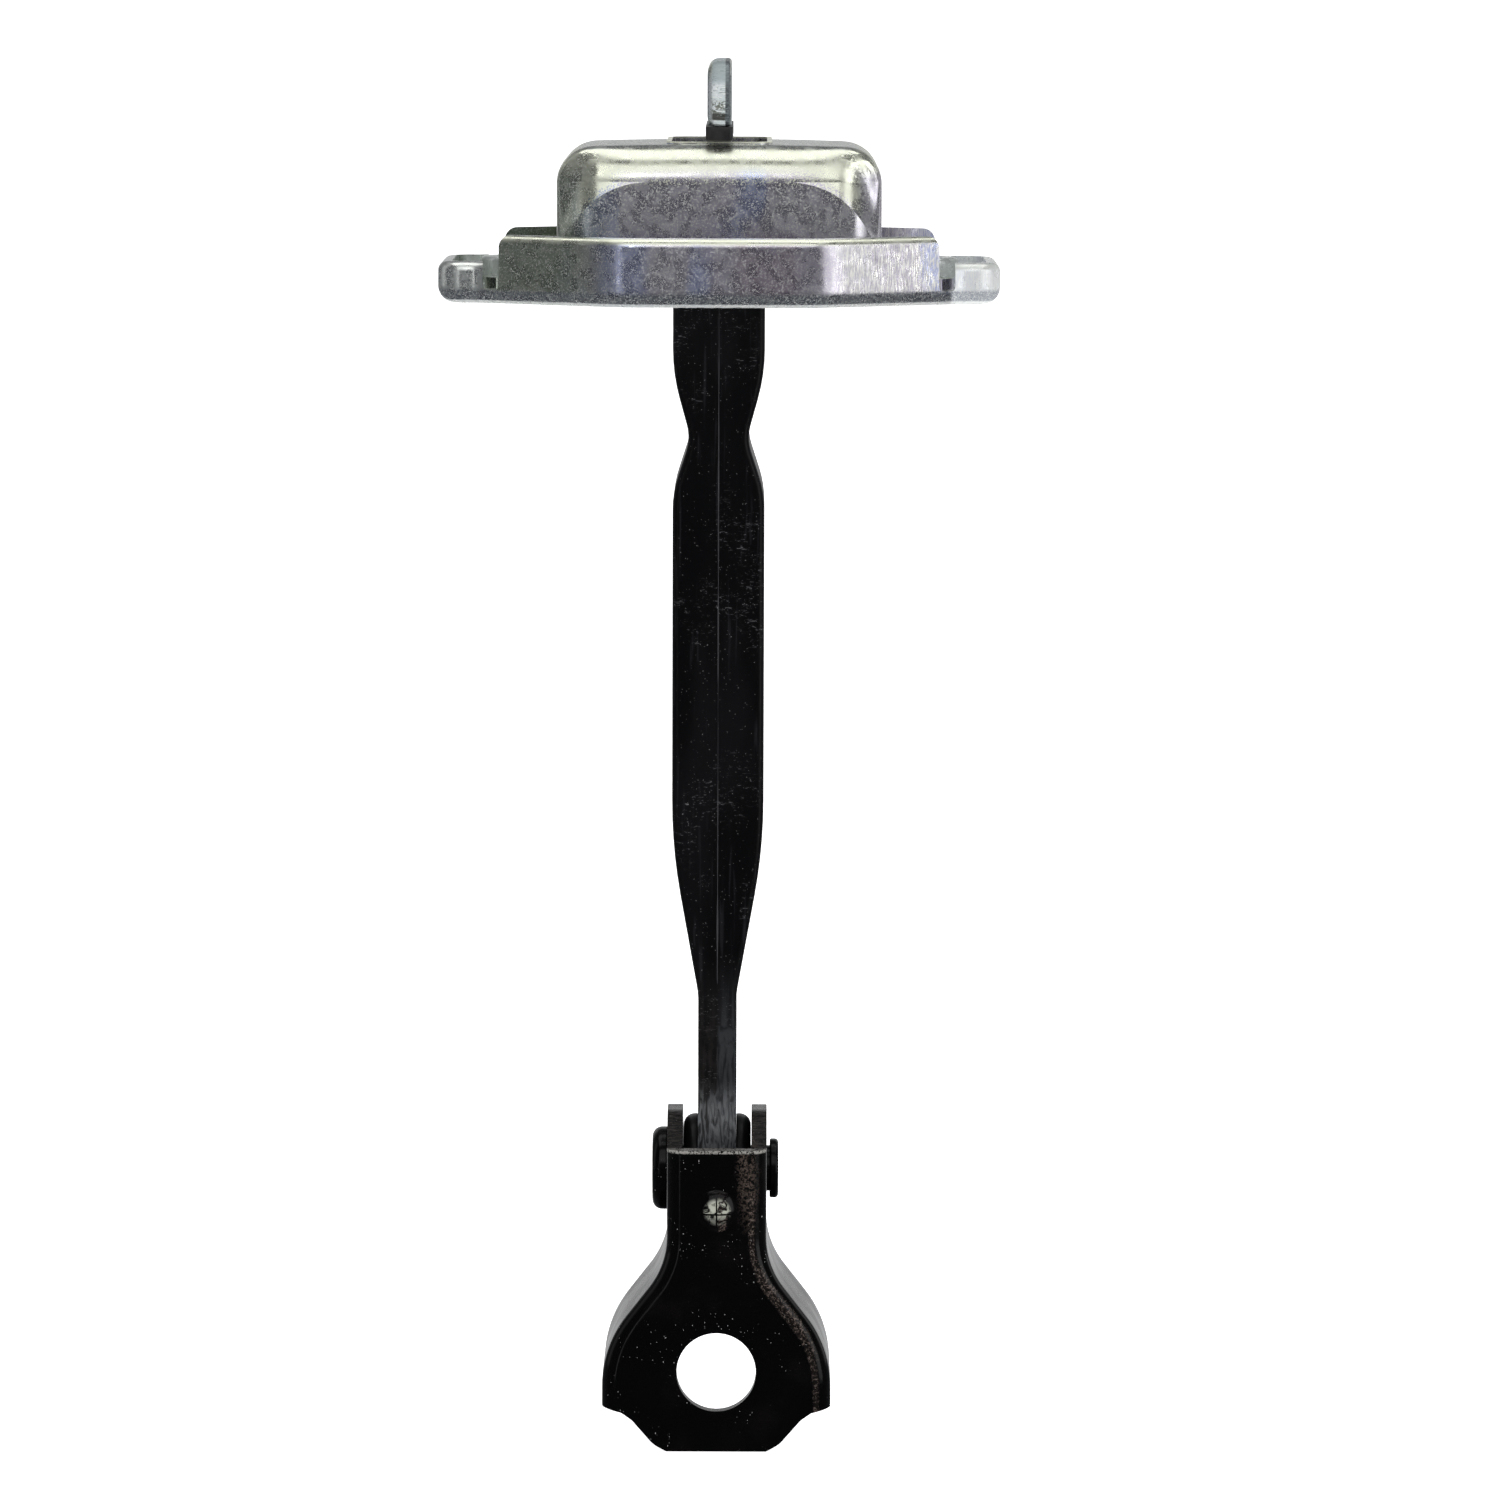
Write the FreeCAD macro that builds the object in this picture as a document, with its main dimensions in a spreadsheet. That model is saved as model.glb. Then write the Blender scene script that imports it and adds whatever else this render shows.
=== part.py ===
import FreeCAD, Part
import math
import os
import Sketcher
from FreeCAD import Vector

# A vehicle door check: a pressed housing that bolts to the door, a resin-covered arm that
# slides through it between two sprung shoes, and a bracket that bolts to the door pillar.
# Frame: Z = 0 is the plate face that sits on the door, the origin is midway between its two
# bolt holes, +Z runs up the arm to its hammer head, and X is the axis of the arm's pivot.

# alias, value in millimetres (degrees where the name ends in _angle), what it is
DIMENSIONS = [
    ("plate_sheet", 1.8, "mounting plate sheet"),
    ("plate_front", 22.6, "centre panel of the skirt, from the middle"),
    ("plate_panel", 12.6, "half width of that panel"),
    ("ear_start", 31.6, "where the wings meet the ears"),
    ("ear_half", 11.4, "half depth of an ear"),
    ("ear_end", 36.3, "outer end of an ear"),
    ("ear_corner", 3.6, "plan radius of an ear"),
    ("panel_bend", 7.0, "plan radius between panel and wing"),
    ("wing_bend", 2.5, "plan radius between wing and ear"),
    ("plate_bend", 2.2, "outer bend radius at the floor"),
    ("skirt_top", 8.9, "height of the skirt"),
    ("skirt_end", 28.3, "half width of the skirt"),
    ("skirt_round", 1.6, "radius of the skirt's upper corners"),
    ("rim_top", 5.4, "height of the ear rim"),
    ("rim_edge", 1.2, "rounding along the outside of the skirt's and rim's upper edges"),
    ("rim_start", 30.4, "inner end of the ear rim"),
    ("bolt_pitch", 52.0, "between the two bolts"),
    ("window_half_width", 6.15, "arm window, half width"),
    ("window_half_depth", 11.6, "arm window, half depth"),
    ("case_sheet", 1.4, "case sheet"),
    ("case_half_width", 20.9, "case, half width"),
    ("case_half_depth", 17.0, "case, half depth"),
    ("case_top", 20.6, "top of the case's crown"),
    ("case_crown", 0.45, "how far the crown falls to the sides"),
    ("case_corner", 5.6, "upright corner radius"),
    ("case_edge", 4.8, "top edge radius"),
    ("flange_end", 30.4, "case flange, outer end"),
    ("flange_half", 8.6, "case flange, half depth"),
    ("flange_corner", 4.0, "case flange corner radius"),
    ("lip_width", 0.65, "raised lip round the arm slot"),
    ("lip_top", 20.9, "top of the lip"),
    ("nut_bore", 2.5, "bore radius for an M6 thread"),
    ("nut_pilot", 3.9, "clinched pilot radius"),
    ("nut_body", 5.0, "nut body radius"),
    ("nut_crown", 5.7, "top of the nut"),
    ("nut_chamfer", 0.5, "chamfer round the nut's top"),
    ("swing_height", 10.6, "height of the shoes' axis"),
    ("shoe_nose", 6.2, "roller's nearest point to the middle"),
    ("roller_radius", 2.6, "shoe roller radius"),
    ("roller_half", 7.0, "half length of a roller"),
    ("roller_play", 0.06, "running play round a roller"),
    ("shoe_radius", 7.9, "shoe holder radius"),
    ("shoe_front", 7.4, "front of the shoe holder"),
    ("shoe_back", 12.2, "back of the shoe holder"),
    ("disc_radius", 7.9, "pressure plate radius"),
    ("disc_sheet", 1.0, "pressure plate thickness"),
    ("disc_boss", 1.8, "radius of the plate's centring boss"),
    ("disc_boss_rise", 1.6, "height of that boss"),
    ("rubber_radius", 7.2, "rubber spring radius at its ends"),
    ("rubber_waist", 6.8, "rubber spring radius at its middle"),
    ("rubber_bore", 2.0, "rubber spring bore radius"),
    ("rubber_heel", 2.4, "rounding of the rubber where the case curves over it"),
    ("rubber_back", 19.3, "outer face of the rubber spring"),
    ("core_half", 1.55, "half thickness of the steel core"),
    ("key_radius", 2.2, "radius of the core's keying holes"),
    ("key_first", -2.0, "height of the highest keying hole"),
    ("key_second", -36.0, "height of the second keying hole"),
    ("key_third", -58.0, "height of the third keying hole"),
    ("key_last", -82.0, "height of the lowest keying hole"),
    ("head_half", 14.5, "hammer head, half depth"),
    ("head_top", 31.2, "top of the hammer head"),
    ("head_base", 22.9, "underside of the hammer head"),
    ("head_round", 3.0, "radius of the head's corners"),
    ("neck_half", 7.0, "core strip, half depth"),
    ("head_roll", 1.4, "rounding along the head's top on the die-roll side"),
    ("head_burr", 0.5, "rounding along the head's top on the other side"),
    ("buffer_base", 20.96, "underside of the stop buffer"),
    ("buffer_half", 1.75, "half thickness of the buffer"),
    ("buffer_end", 14.7, "half depth of the buffer"),
    ("buffer_play", 0.02, "buffer round the core"),
    ("arm_top", 20.3, "top of the resin cover"),
    ("arm_half", 5.95, "half thickness of the resin arm"),
    ("arm_thin", 2.5, "half thickness near the pivot"),
    ("arm_side", 9.0, "half depth of the arm"),
    ("arm_round", 0.9, "radius along the arm's edges"),
    ("detent_open", 10.6, "height of the full-open detent"),
    ("detent_half", -17.9, "height of the half-open detent"),
    ("detent_floor", 3.66, "apex of a detent before rounding"),
    ("ramp_start", -70.9, "where the arm starts to thin"),
    ("ramp_end", -90.0, "where it has its thin section"),
    ("eye_radius", 6.9, "radius of the arm's eye"),
    ("pivot_height", -114.3, "pivot height"),
    ("bush_radius", 4.2, "bush barrel radius"),
    ("bush_flange", 7.2, "bush flange radius"),
    ("bush_face", 4.42, "bush flange outer face"),
    ("bush_round", 1.5, "rounding of the bush flange"),
    ("shank_radius", 3.0, "rivet shank radius"),
    ("shank_play", 0.05, "running play round the shank"),
    ("rivet_head", 5.45, "rivet head radius"),
    ("rivet_head_rise", 2.0, "rivet head thickness"),
    ("rivet_upset", 3.9, "radius of the upset end"),
    ("rivet_upset_rise", 1.15, "thickness of the upset end"),
    ("upset_gap", 0.4, "gap from the ear to the upset end"),
    ("bracket_sheet", 2.0, "bracket sheet"),
    ("bracket_half", 6.5, "bracket half width at the ears"),
    ("bracket_foot", 14.95, "bracket half width at the bolt"),
    ("bracket_front", 13.0, "front of the web, from the pivot"),
    ("bracket_back", 8.4, "back of the flanges, from the pivot"),
    ("bracket_bend", 2.4, "outer bend radius of the bracket"),
    ("web_top", -110.0, "upper edge of the web"),
    ("flare_start", -121.6, "where the flare begins"),
    ("flare_angle", 38.0, "slope of the flare"),
    ("flare_upper", 11.0, "upper radius of the flare"),
    ("flare_lower", 15.0, "lower radius of the flare"),
    ("flange_foot", -144.0, "lower edge of the flanges"),
    ("tongue_half", 11.2, "half width of the web's tongue"),
    ("tongue_foot", -149.7, "lower edge of the tongue"),
    ("pillar_hole", 5.17, "pillar bolt hole radius"),
    ("pillar_hole_height", -139.2, "pillar bolt hole height"),
    ("pip_height", -117.9, "locating pip height"),
    ("pip_sphere", 3.75, "pip outer sphere radius"),
    ("pip_rise", 1.2, "how far the pip stands out"),
    ("pip_wall", 1.5, "pip sheet"),
]

doc = FreeCAD.newDocument("DoorCheck")
sheet = doc.addObject("Spreadsheet::Sheet", "Dimensions")
for row, (alias, size, meaning) in enumerate(DIMENSIONS, start=1):
    sheet.set(f"A{row}", alias)
    sheet.set(f"B{row}", str(size))
    sheet.set(f"C{row}", meaning)
    sheet.setAlias(f"B{row}", alias)
doc.recompute()

SIDES = (("left", -1), ("right", 1))
nodes = []


def dim(alias):
    """Read one driving dimension from the sheet."""
    return float(sheet.get(alias))


def bind(feature, **formulas):
    """Bind properties of a feature to formulas in the sheet's aliases."""
    for prop, formula in formulas.items():
        for alias, _, _ in DIMENSIONS:
            formula = " ".join(f"Dimensions.{word}" if word == alias else word
                               for word in formula.split(" "))
        feature.setExpression(prop, formula)


def keep(feature, name):
    """Label a finished sub-part with its node name."""
    feature.Label = name
    nodes.append(feature)
    return feature


# ---- outlines: corners (u, v, radius) joined by lines and tangent arcs ----

def rounded(corners):
    """Edges of a closed outline whose corners are rounded by their own radii."""
    count = len(corners)
    arcs = []
    for index, (u, v, radius) in enumerate(corners):
        corner = Vector(u, v, 0)
        before = Vector(*corners[index - 1][:2], 0).sub(corner).normalize()
        after = Vector(*corners[(index + 1) % count][:2], 0).sub(corner).normalize()
        half = before.getAngle(after) / 2
        if radius <= 0 or abs(half - math.pi / 2) < 1e-4:
            arcs.append((corner, None, corner))
            continue
        reach = radius / math.tan(half)
        middle = before.add(after).normalize()
        apex = corner.add(middle.multiply(radius / math.sin(half) - radius))
        arcs.append((corner.add(before * reach), apex, corner.add(after * reach)))
    edges = []
    for index, (start, apex, end) in enumerate(arcs):
        if apex is not None:
            edges.append(Part.Arc(start, apex, end))
        following = arcs[(index + 1) % count][0]
        if end.distanceToPoint(following) > 1e-5:
            edges.append(Part.LineSegment(end, following))
    return edges


def mirrored(corners):
    """Close a right-hand half outline by mirroring it about u = 0."""
    return corners + [(-u, v, radius) for u, v, radius in reversed(corners)]


def rectangle(half_u, half_v, radius, centre_u=0.0, centre_v=0.0):
    """A rounded rectangle."""
    return [(centre_u + su * half_u, centre_v + sv * half_v, radius)
            for su, sv in ((-1, -1), (1, -1), (1, 1), (-1, 1))]


# ---- PartDesign helpers ----

def new_body(name):
    """A PartDesign body labelled with its node name."""
    body = doc.addObject("PartDesign::Body", "Body_" + name)
    body.Label = name
    return body


def new_sketch(body, plane, edges, offset=0.0):
    """A sketch of given edges on one of the body's own origin planes."""
    sketch = body.newObject("Sketcher::SketchObject", "Sketch")
    origin_plane = next(f for f in body.Origin.OriginFeatures if f.Role == plane)
    sketch.AttachmentSupport = [(origin_plane, "")]
    sketch.MapMode = "FlatFace"
    sketch.AttachmentOffset = FreeCAD.Placement(Vector(0, 0, offset), FreeCAD.Rotation())
    sketch.addGeometry(edges, False)
    return sketch


def circle(body, plane, alias, centre=(0.0, 0.0), offset=0.0):
    """A sketched circle whose radius is bound to the sheet."""
    edge = Part.Circle(Vector(*centre, 0), Vector(0, 0, 1), dim(alias))
    sketch = new_sketch(body, plane, [edge], offset)
    index = sketch.addConstraint(Sketcher.Constraint("Radius", 0, dim(alias)))
    sketch.setExpression(f"Constraints[{index}]", f"Dimensions.{alias}")
    return sketch


def pad(body, sketch, length, midplane=False, reverse=False):
    """Pad a sketch by a formula."""
    feature = body.newObject("PartDesign::Pad", "Pad")
    feature.Profile = sketch
    feature.Midplane = midplane
    feature.Reversed = reverse
    bind(feature, Length=length)
    doc.recompute()
    return feature


def pocket(body, sketch, length=None, reverse=False):
    """Cut a sketch out, through everything both ways or by a formula, and check that it cuts."""
    before = body.Shape.Volume
    feature = body.newObject("PartDesign::Pocket", "Pocket")
    feature.Profile = sketch
    feature.Reversed = reverse
    if length is None:
        feature.Type = 1
        feature.Midplane = True
    else:
        bind(feature, Length=length)
    doc.recompute()
    if not body.Shape.Volume < before - 1e-3:
        raise RuntimeError(f"a pocket in {body.Label} cuts nothing")
    return feature


def revolve(body, corners, side=1):
    """Revolve a half outline (along X, radius) about the body's X axis."""
    edges = rounded([(side * along, radius, corner) for along, radius, corner in corners])
    sketch = new_sketch(body, "XY_Plane", edges)
    feature = body.newObject("PartDesign::Revolution", "Revolution")
    feature.Profile = sketch
    feature.ReferenceAxis = (sketch, ["H_Axis"])
    feature.Angle = 360
    doc.recompute()
    return feature


def fillet(body, base, radius, wanted):
    """Round the edges that a test picks out."""
    names = [f"Edge{i}" for i, edge in enumerate(base.Shape.Edges, 1) if wanted(edge)]
    feature = body.newObject("PartDesign::Fillet", "Fillet")
    feature.Base = (base, names)
    bind(feature, Radius=radius)
    doc.recompute()
    if "Invalid" in feature.State:
        raise RuntimeError(f"a fillet in {body.Label} failed")
    return feature


def flat_at(height, axis="z"):
    """A test for edges that lie wholly at one coordinate."""
    low, high = axis.upper() + "Min", axis.upper() + "Max"

    def test(edge):
        box = edge.BoundBox
        return abs(getattr(box, low) - height) < 1e-3 and abs(getattr(box, high) - height) < 1e-3
    return test


def place(body, height):
    """Stand a body that is modelled about the X axis at its own height, bound to the sheet."""
    body.setExpression("Placement.Base.z", f"Dimensions.{height}")


# ---- housing ----

def plate_outline(inset=0.0):
    """Plan of the mounting plate: panel, wings and ears; inset gives its inner face."""
    run = dim("ear_start") - dim("plate_panel")
    wing = math.atan2(dim("plate_front") - dim("ear_half"), run)
    shift = inset * math.tan(wing / 2)
    quarter = [
        (dim("plate_panel") - shift, dim("plate_front") - inset, dim("panel_bend") - inset),
        (dim("ear_start") - shift, dim("ear_half") - inset, dim("wing_bend") + inset),
        (dim("ear_end") - inset, dim("ear_half") - inset, dim("ear_corner") - inset),
    ]
    front = [(u, -v, radius) for u, v, radius in quarter]
    right = front + list(reversed(quarter))
    return mirrored(right)


def make_mounting_plate():
    """Pressed pan: floor, faceted skirt, low ear rims, arm window and two nut holes."""
    body = new_body("mounting_plate")
    blank = pad(body, new_sketch(body, "XY_Plane", rounded(plate_outline())), "skirt_top")
    fillet(body, blank, "plate_bend", flat_at(0))
    inner = new_sketch(body, "XY_Plane", rounded(plate_outline(dim("plate_sheet"))),
                       dim("skirt_top"))
    dished = pocket(body, inner, "skirt_top - plate_sheet")
    outline = Part.Wire([edge.toShape() for edge in rounded(plate_outline())])

    def outer_edge(height):
        def test(edge):
            middle = edge.valueAt((edge.FirstParameter + edge.LastParameter) / 2)
            foot = Part.Vertex(middle.x, middle.y, 0)
            return flat_at(height)(edge) and outline.distToShape(foot)[0] < 1e-3
        return test
    fillet(body, dished, "rim_edge", outer_edge(dim("skirt_top")))
    above = dim("skirt_top") + 5
    beyond = dim("ear_end") + 5
    trim = [
        (dim("skirt_end") - 3, above, 0),
        (dim("skirt_end") - 3, dim("skirt_top"), 0),
        (dim("skirt_end"), dim("skirt_top"), dim("skirt_round")),
        (dim("skirt_end"), dim("plate_sheet"), 0.6),
        (dim("rim_start"), dim("plate_sheet"), 0.6),
        (dim("rim_start"), dim("rim_top"), 0),
        (beyond, dim("rim_top"), 0),
        (beyond, above, 0),
    ]
    for _, side in SIDES:
        pocket(body, new_sketch(body, "XZ_Plane", rounded([(side * u, v, r) for u, v, r in trim])))
    fillet(body, body.Tip, "rim_edge", outer_edge(dim("rim_top")))
    window = rectangle(dim("window_half_width"), dim("window_half_depth"), 2.0)
    pocket(body, new_sketch(body, "XY_Plane", rounded(window)))
    for _, side in SIDES:
        pocket(body, circle(body, "XY_Plane", "nut_pilot", (side * dim("bolt_pitch") / 2, 0)))
    return keep(body, "mounting_plate")


def make_housing_case():
    """Deep-drawn cup with a crowned top, a lipped arm slot and a flange each side."""
    body = new_body("housing_case")
    plan = rectangle(dim("case_half_width"), dim("case_half_depth"), dim("case_corner"))
    base = new_sketch(body, "XY_Plane", rounded(plan), dim("plate_sheet"))
    pad(body, base, "case_top - plate_sheet")
    half, crown, top = dim("case_half_width"), dim("case_crown"), dim("case_top")
    above = top + 5
    start, end = Vector(-half - 1, top - crown, 0), Vector(half + 1, top - crown, 0)
    cap = [
        Part.Arc(start, Vector(0, top, 0), end),
        Part.LineSegment(end, Vector(half + 1, above, 0)),
        Part.LineSegment(Vector(half + 1, above, 0), Vector(-half - 1, above, 0)),
        Part.LineSegment(Vector(-half - 1, above, 0), start),
    ]
    crowned = pocket(body, new_sketch(body, "XZ_Plane", cap))

    def top_edge(edge):
        return edge.BoundBox.ZMin > top - crown - 1e-3 and edge.BoundBox.ZLength < crown + 1e-3
    rounded_cup = fillet(body, crowned, "case_edge", top_edge)
    shell = body.newObject("PartDesign::Thickness", "Shell")
    foot = [f"Face{i}" for i, face in enumerate(rounded_cup.Shape.Faces, 1)
            if face.BoundBox.ZMax < dim("plate_sheet") + 1e-3]
    shell.Base = (rounded_cup, foot)
    shell.Reversed = True
    bind(shell, Value="case_sheet")
    doc.recompute()
    for _, side in SIDES:
        inner = dim("case_half_width") - 0.7 * dim("case_sheet")
        flange = [
            (side * inner, -dim("flange_half"), 0),
            (side * dim("flange_end"), -dim("flange_half"), dim("flange_corner")),
            (side * dim("flange_end"), dim("flange_half"), dim("flange_corner")),
            (side * inner, dim("flange_half"), 0),
        ]
        sketch = new_sketch(body, "XY_Plane", rounded(flange), dim("plate_sheet"))
        pad(body, sketch, "case_sheet")
        hole = circle(body, "XY_Plane", "nut_pilot", (side * dim("bolt_pitch") / 2, 0),
                      dim("plate_sheet") + dim("case_sheet"))
        pocket(body, hole, "case_sheet")
    lip = rectangle(dim("window_half_width") + dim("lip_width"),
                    dim("window_half_depth") + dim("lip_width"), 2.6)
    ring = new_sketch(body, "XY_Plane", rounded(lip), dim("case_top") - 0.5 * dim("case_sheet"))
    pad(body, ring, "lip_top - case_top + 0.5 * case_sheet")
    slot = rectangle(dim("window_half_width"), dim("window_half_depth"), 2.0)
    pocket(body, new_sketch(body, "XY_Plane", rounded(slot)))
    return keep(body, "housing_case")


def make_nut(name, side):
    """Round clinch nut: a pilot through flange and plate, and a chamfered body on the flange."""
    body = new_body(name)
    seat = dim("plate_sheet") + dim("case_sheet")
    profile = [
        (dim("nut_bore"), 0.0), (dim("nut_pilot"), 0.0), (dim("nut_pilot"), seat),
        (dim("nut_body"), seat), (dim("nut_body"), dim("nut_crown") - dim("nut_chamfer")),
        (dim("nut_body") - dim("nut_chamfer"), dim("nut_crown")),
        (dim("nut_bore"), dim("nut_crown")),
    ]
    sketch = new_sketch(body, "XZ_Plane", rounded([(u, v, 0) for u, v in profile]))
    turned = body.newObject("PartDesign::Revolution", "Revolution")
    turned.Profile = sketch
    turned.ReferenceAxis = (sketch, ["V_Axis"])
    turned.Angle = 360
    body.setExpression("Placement.Base.x", f"{side} * Dimensions.bolt_pitch / 2")
    return keep(body, name)


# ---- shoes and springs ----

def make_rubber_spring(name, side):
    """Waisted rubber cylinder between the pressure plate and the case's side wall."""
    body = new_body(name)
    front = dim("shoe_back") + dim("disc_sheet") + 0.05
    back = dim("rubber_back")
    middle = (front + back) / 2
    revolve(body, [
        (front, dim("rubber_bore"), 0), (front, dim("rubber_radius"), 0.8),
        (middle, dim("rubber_waist"), 2.0), (back, dim("rubber_radius"), dim("rubber_heel")),
        (back, dim("rubber_bore"), 0),
    ], side)
    place(body, "swing_height")
    return keep(body, name)


def make_pressure_plate(name, side):
    """Steel disc with a centring boss that enters the rubber's bore."""
    body = new_body(name)
    front = dim("shoe_back")
    back = front + dim("disc_sheet")
    revolve(body, [
        (front, 0, 0), (front, dim("disc_radius"), 0.3), (back, dim("disc_radius"), 0.3),
        (back, dim("disc_boss"), 0), (back + dim("disc_boss_rise"), dim("disc_boss"), 0.4),
        (back + dim("disc_boss_rise"), 0, 0),
    ], side)
    place(body, "swing_height")
    return keep(body, name)


def roller_centre(side):
    """Distance of a roller's axis from the arm's middle plane."""
    return side * (dim("shoe_nose") + dim("roller_radius"))


def make_shoe(name, side):
    """Moulded holder: a round back and an open trough that carries the roller."""
    body = new_body(name)
    revolve(body, [
        (dim("shoe_front"), 0, 0), (dim("shoe_front"), dim("shoe_radius"), 1.0),
        (dim("shoe_back"), dim("shoe_radius"), 0.3), (dim("shoe_back"), 0, 0),
    ], side)
    radius = dim("roller_radius") + dim("roller_play")
    trough = Part.Circle(Vector(roller_centre(side), 0, 0), Vector(0, 0, 1), radius)
    pocket(body, new_sketch(body, "XZ_Plane", [trough], dim("roller_half") + 0.1),
           "2 * roller_half + 0.2")
    place(body, "swing_height")
    return keep(body, name)


def make_roller(name, side):
    """Steel needle roller with rounded ends, its axis across the arm."""
    body = new_body(name)
    outline = circle(body, "XZ_Plane", "roller_radius", (roller_centre(side), 0))
    drum = pad(body, outline, "2 * roller_half", midplane=True)
    fillet(body, drum, "nut_chamfer", lambda edge: edge.BoundBox.YLength < 1e-3)
    place(body, "swing_height")
    return keep(body, name)


# ---- arm ----

def core_outline():
    """Side view of the steel core: hammer head, strip and eye, as (depth, height)."""
    pivot = dim("pivot_height")
    return mirrored([
        (dim("eye_radius") - 0.9, pivot - dim("eye_radius") + 0.9, dim("eye_radius") - 1.0),
        (dim("eye_radius") - 0.9, pivot + 8, 6.0),
        (dim("neck_half"), pivot + 16, 6.0),
        (dim("neck_half"), dim("head_base"), 0.4),
        (dim("head_half"), dim("head_base"), 0.6),
        (dim("head_half"), dim("head_top"), dim("head_round")),
    ])


def make_core_plate():
    """Sheared steel core, its head rounded along the top and pierced to key the resin."""
    body = new_body("core_plate")
    blank = pad(body, new_sketch(body, "YZ_Plane", rounded(core_outline())), "2 * core_half",
                midplane=True)

    def head_top(side):
        def test(edge):
            box = edge.BoundBox
            return (abs(box.XMin - side * dim("core_half")) < 1e-3 and box.XLength < 1e-3
                    and box.ZMin > dim("head_top") - dim("head_round") - 0.1)
        return test
    rolled = fillet(body, blank, "head_roll", head_top(-1))
    fillet(body, rolled, "head_burr", head_top(1))
    eye = circle(body, "YZ_Plane", "bush_radius", (0, dim("pivot_height")))
    pocket(body, eye)
    for key in ("key_first", "key_second", "key_third", "key_last"):
        hole = Part.Circle(Vector(0, dim(key), 0), Vector(0, 0, 1), dim("key_radius"))
        pocket(body, new_sketch(body, "YZ_Plane", [hole]))
    return keep(body, "core_plate")


def detent(height, shoulder):
    """Right-hand corners of one detent, from its lower ramp to its upper ramp and shoulder."""
    return [
        (dim("arm_half"), height - 6.6, 14.0),
        (dim("detent_floor"), height + 0.45, 6.0),
        (dim("arm_half"), height + 8.7, shoulder),
    ]


def arm_thickness_outline():
    """Front view of the resin arm, as (thickness, height)."""
    foot = dim("pivot_height") - dim("eye_radius") - 1
    return mirrored([
        (dim("arm_thin"), foot, 0),
        (dim("arm_thin"), dim("ramp_end"), 10.0),
        (dim("arm_half"), dim("ramp_start"), 70.0),
        *detent(dim("detent_half"), 24.0),
        *detent(dim("detent_open"), 5.0),
        (dim("arm_half"), dim("arm_top"), 0),
    ])


def make_arm_cover(core):
    """Resin moulding: detents, long ramp and thin eye end, moulded round the steel core."""
    body = new_body("arm_moulding")
    blank = pad(body, new_sketch(body, "XZ_Plane", rounded(arm_thickness_outline())),
                "2 * arm_side", midplane=True)
    fillet(body, blank, "arm_round",
           lambda edge: edge.BoundBox.YLength < 1e-3 and edge.BoundBox.ZLength > 0.05)
    pivot, eye, side = dim("pivot_height"), dim("eye_radius"), dim("arm_side")
    for _, way in SIDES:
        outside = [
            (way * (side + 4), pivot + 26, 0), (way * side, pivot + 26, 12.0),
            (way * eye, pivot + 13, 12.0), (way * eye, pivot - eye, eye),
            (0, pivot - eye, 0), (0, pivot - eye - 4, 0), (way * (side + 4), pivot - eye - 4, 0),
        ]
        pocket(body, new_sketch(body, "YZ_Plane", rounded(outside)))

    pocket(body, circle(body, "YZ_Plane", "bush_radius", (0, pivot)))
    cover = doc.addObject("Part::Cut", "CoverLessCore")
    cover.Base = body
    cover.Tool = core
    return keep(cover, "arm_cover")


def make_stop_buffer():
    """Rubber block on the core's neck, under the hammer head."""
    body = new_body("stop_buffer")
    block = rectangle(dim("buffer_half"), dim("buffer_end"), 0.5)
    blank = pad(body, new_sketch(body, "XY_Plane", rounded(block), dim("buffer_base")),
                "head_base - buffer_base - 0.02")
    fillet(body, blank, "buffer_half / 4", flat_at(dim("buffer_base")))
    neck = rectangle(dim("core_half") + dim("buffer_play"), dim("neck_half") + 0.35, 0.2)
    pocket(body, new_sketch(body, "XY_Plane", rounded(neck)))
    return keep(body, "stop_buffer")


def make_bush(name, side):
    """Flanged plastic bush: half of the eye's lining and a rounded cheek."""
    body = new_body(name)
    bore = dim("shank_radius") + dim("shank_play")
    seat = dim("arm_thin") + 0.03
    revolve(body, [
        (0.05, bore, 0), (0.05, dim("bush_radius") - 0.02, 0.2),
        (seat, dim("bush_radius") - 0.02, 0), (seat, dim("bush_flange"), 0.2),
        (dim("bush_face"), dim("bush_flange"), dim("bush_round")), (dim("bush_face"), bore, 0),
    ], side)
    place(body, "pivot_height")
    return keep(body, name)


# ---- bracket ----

def bracket_flank(inset=0.0):
    """Right-hand corners of the bracket's side in front view, from the flare down."""
    slope = math.radians(dim("flare_angle"))
    shift = inset * math.tan(slope / 2)
    upper = dim("flare_upper") * math.tan(slope / 2)
    start = dim("flare_start") - upper
    drop = (dim("bracket_foot") - dim("bracket_half")) / math.tan(slope)
    return [
        (dim("bracket_half") - inset, start - shift, dim("flare_upper") + inset),
        (dim("bracket_foot") - inset, start - drop - shift, dim("flare_lower") - inset),
    ]


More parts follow.
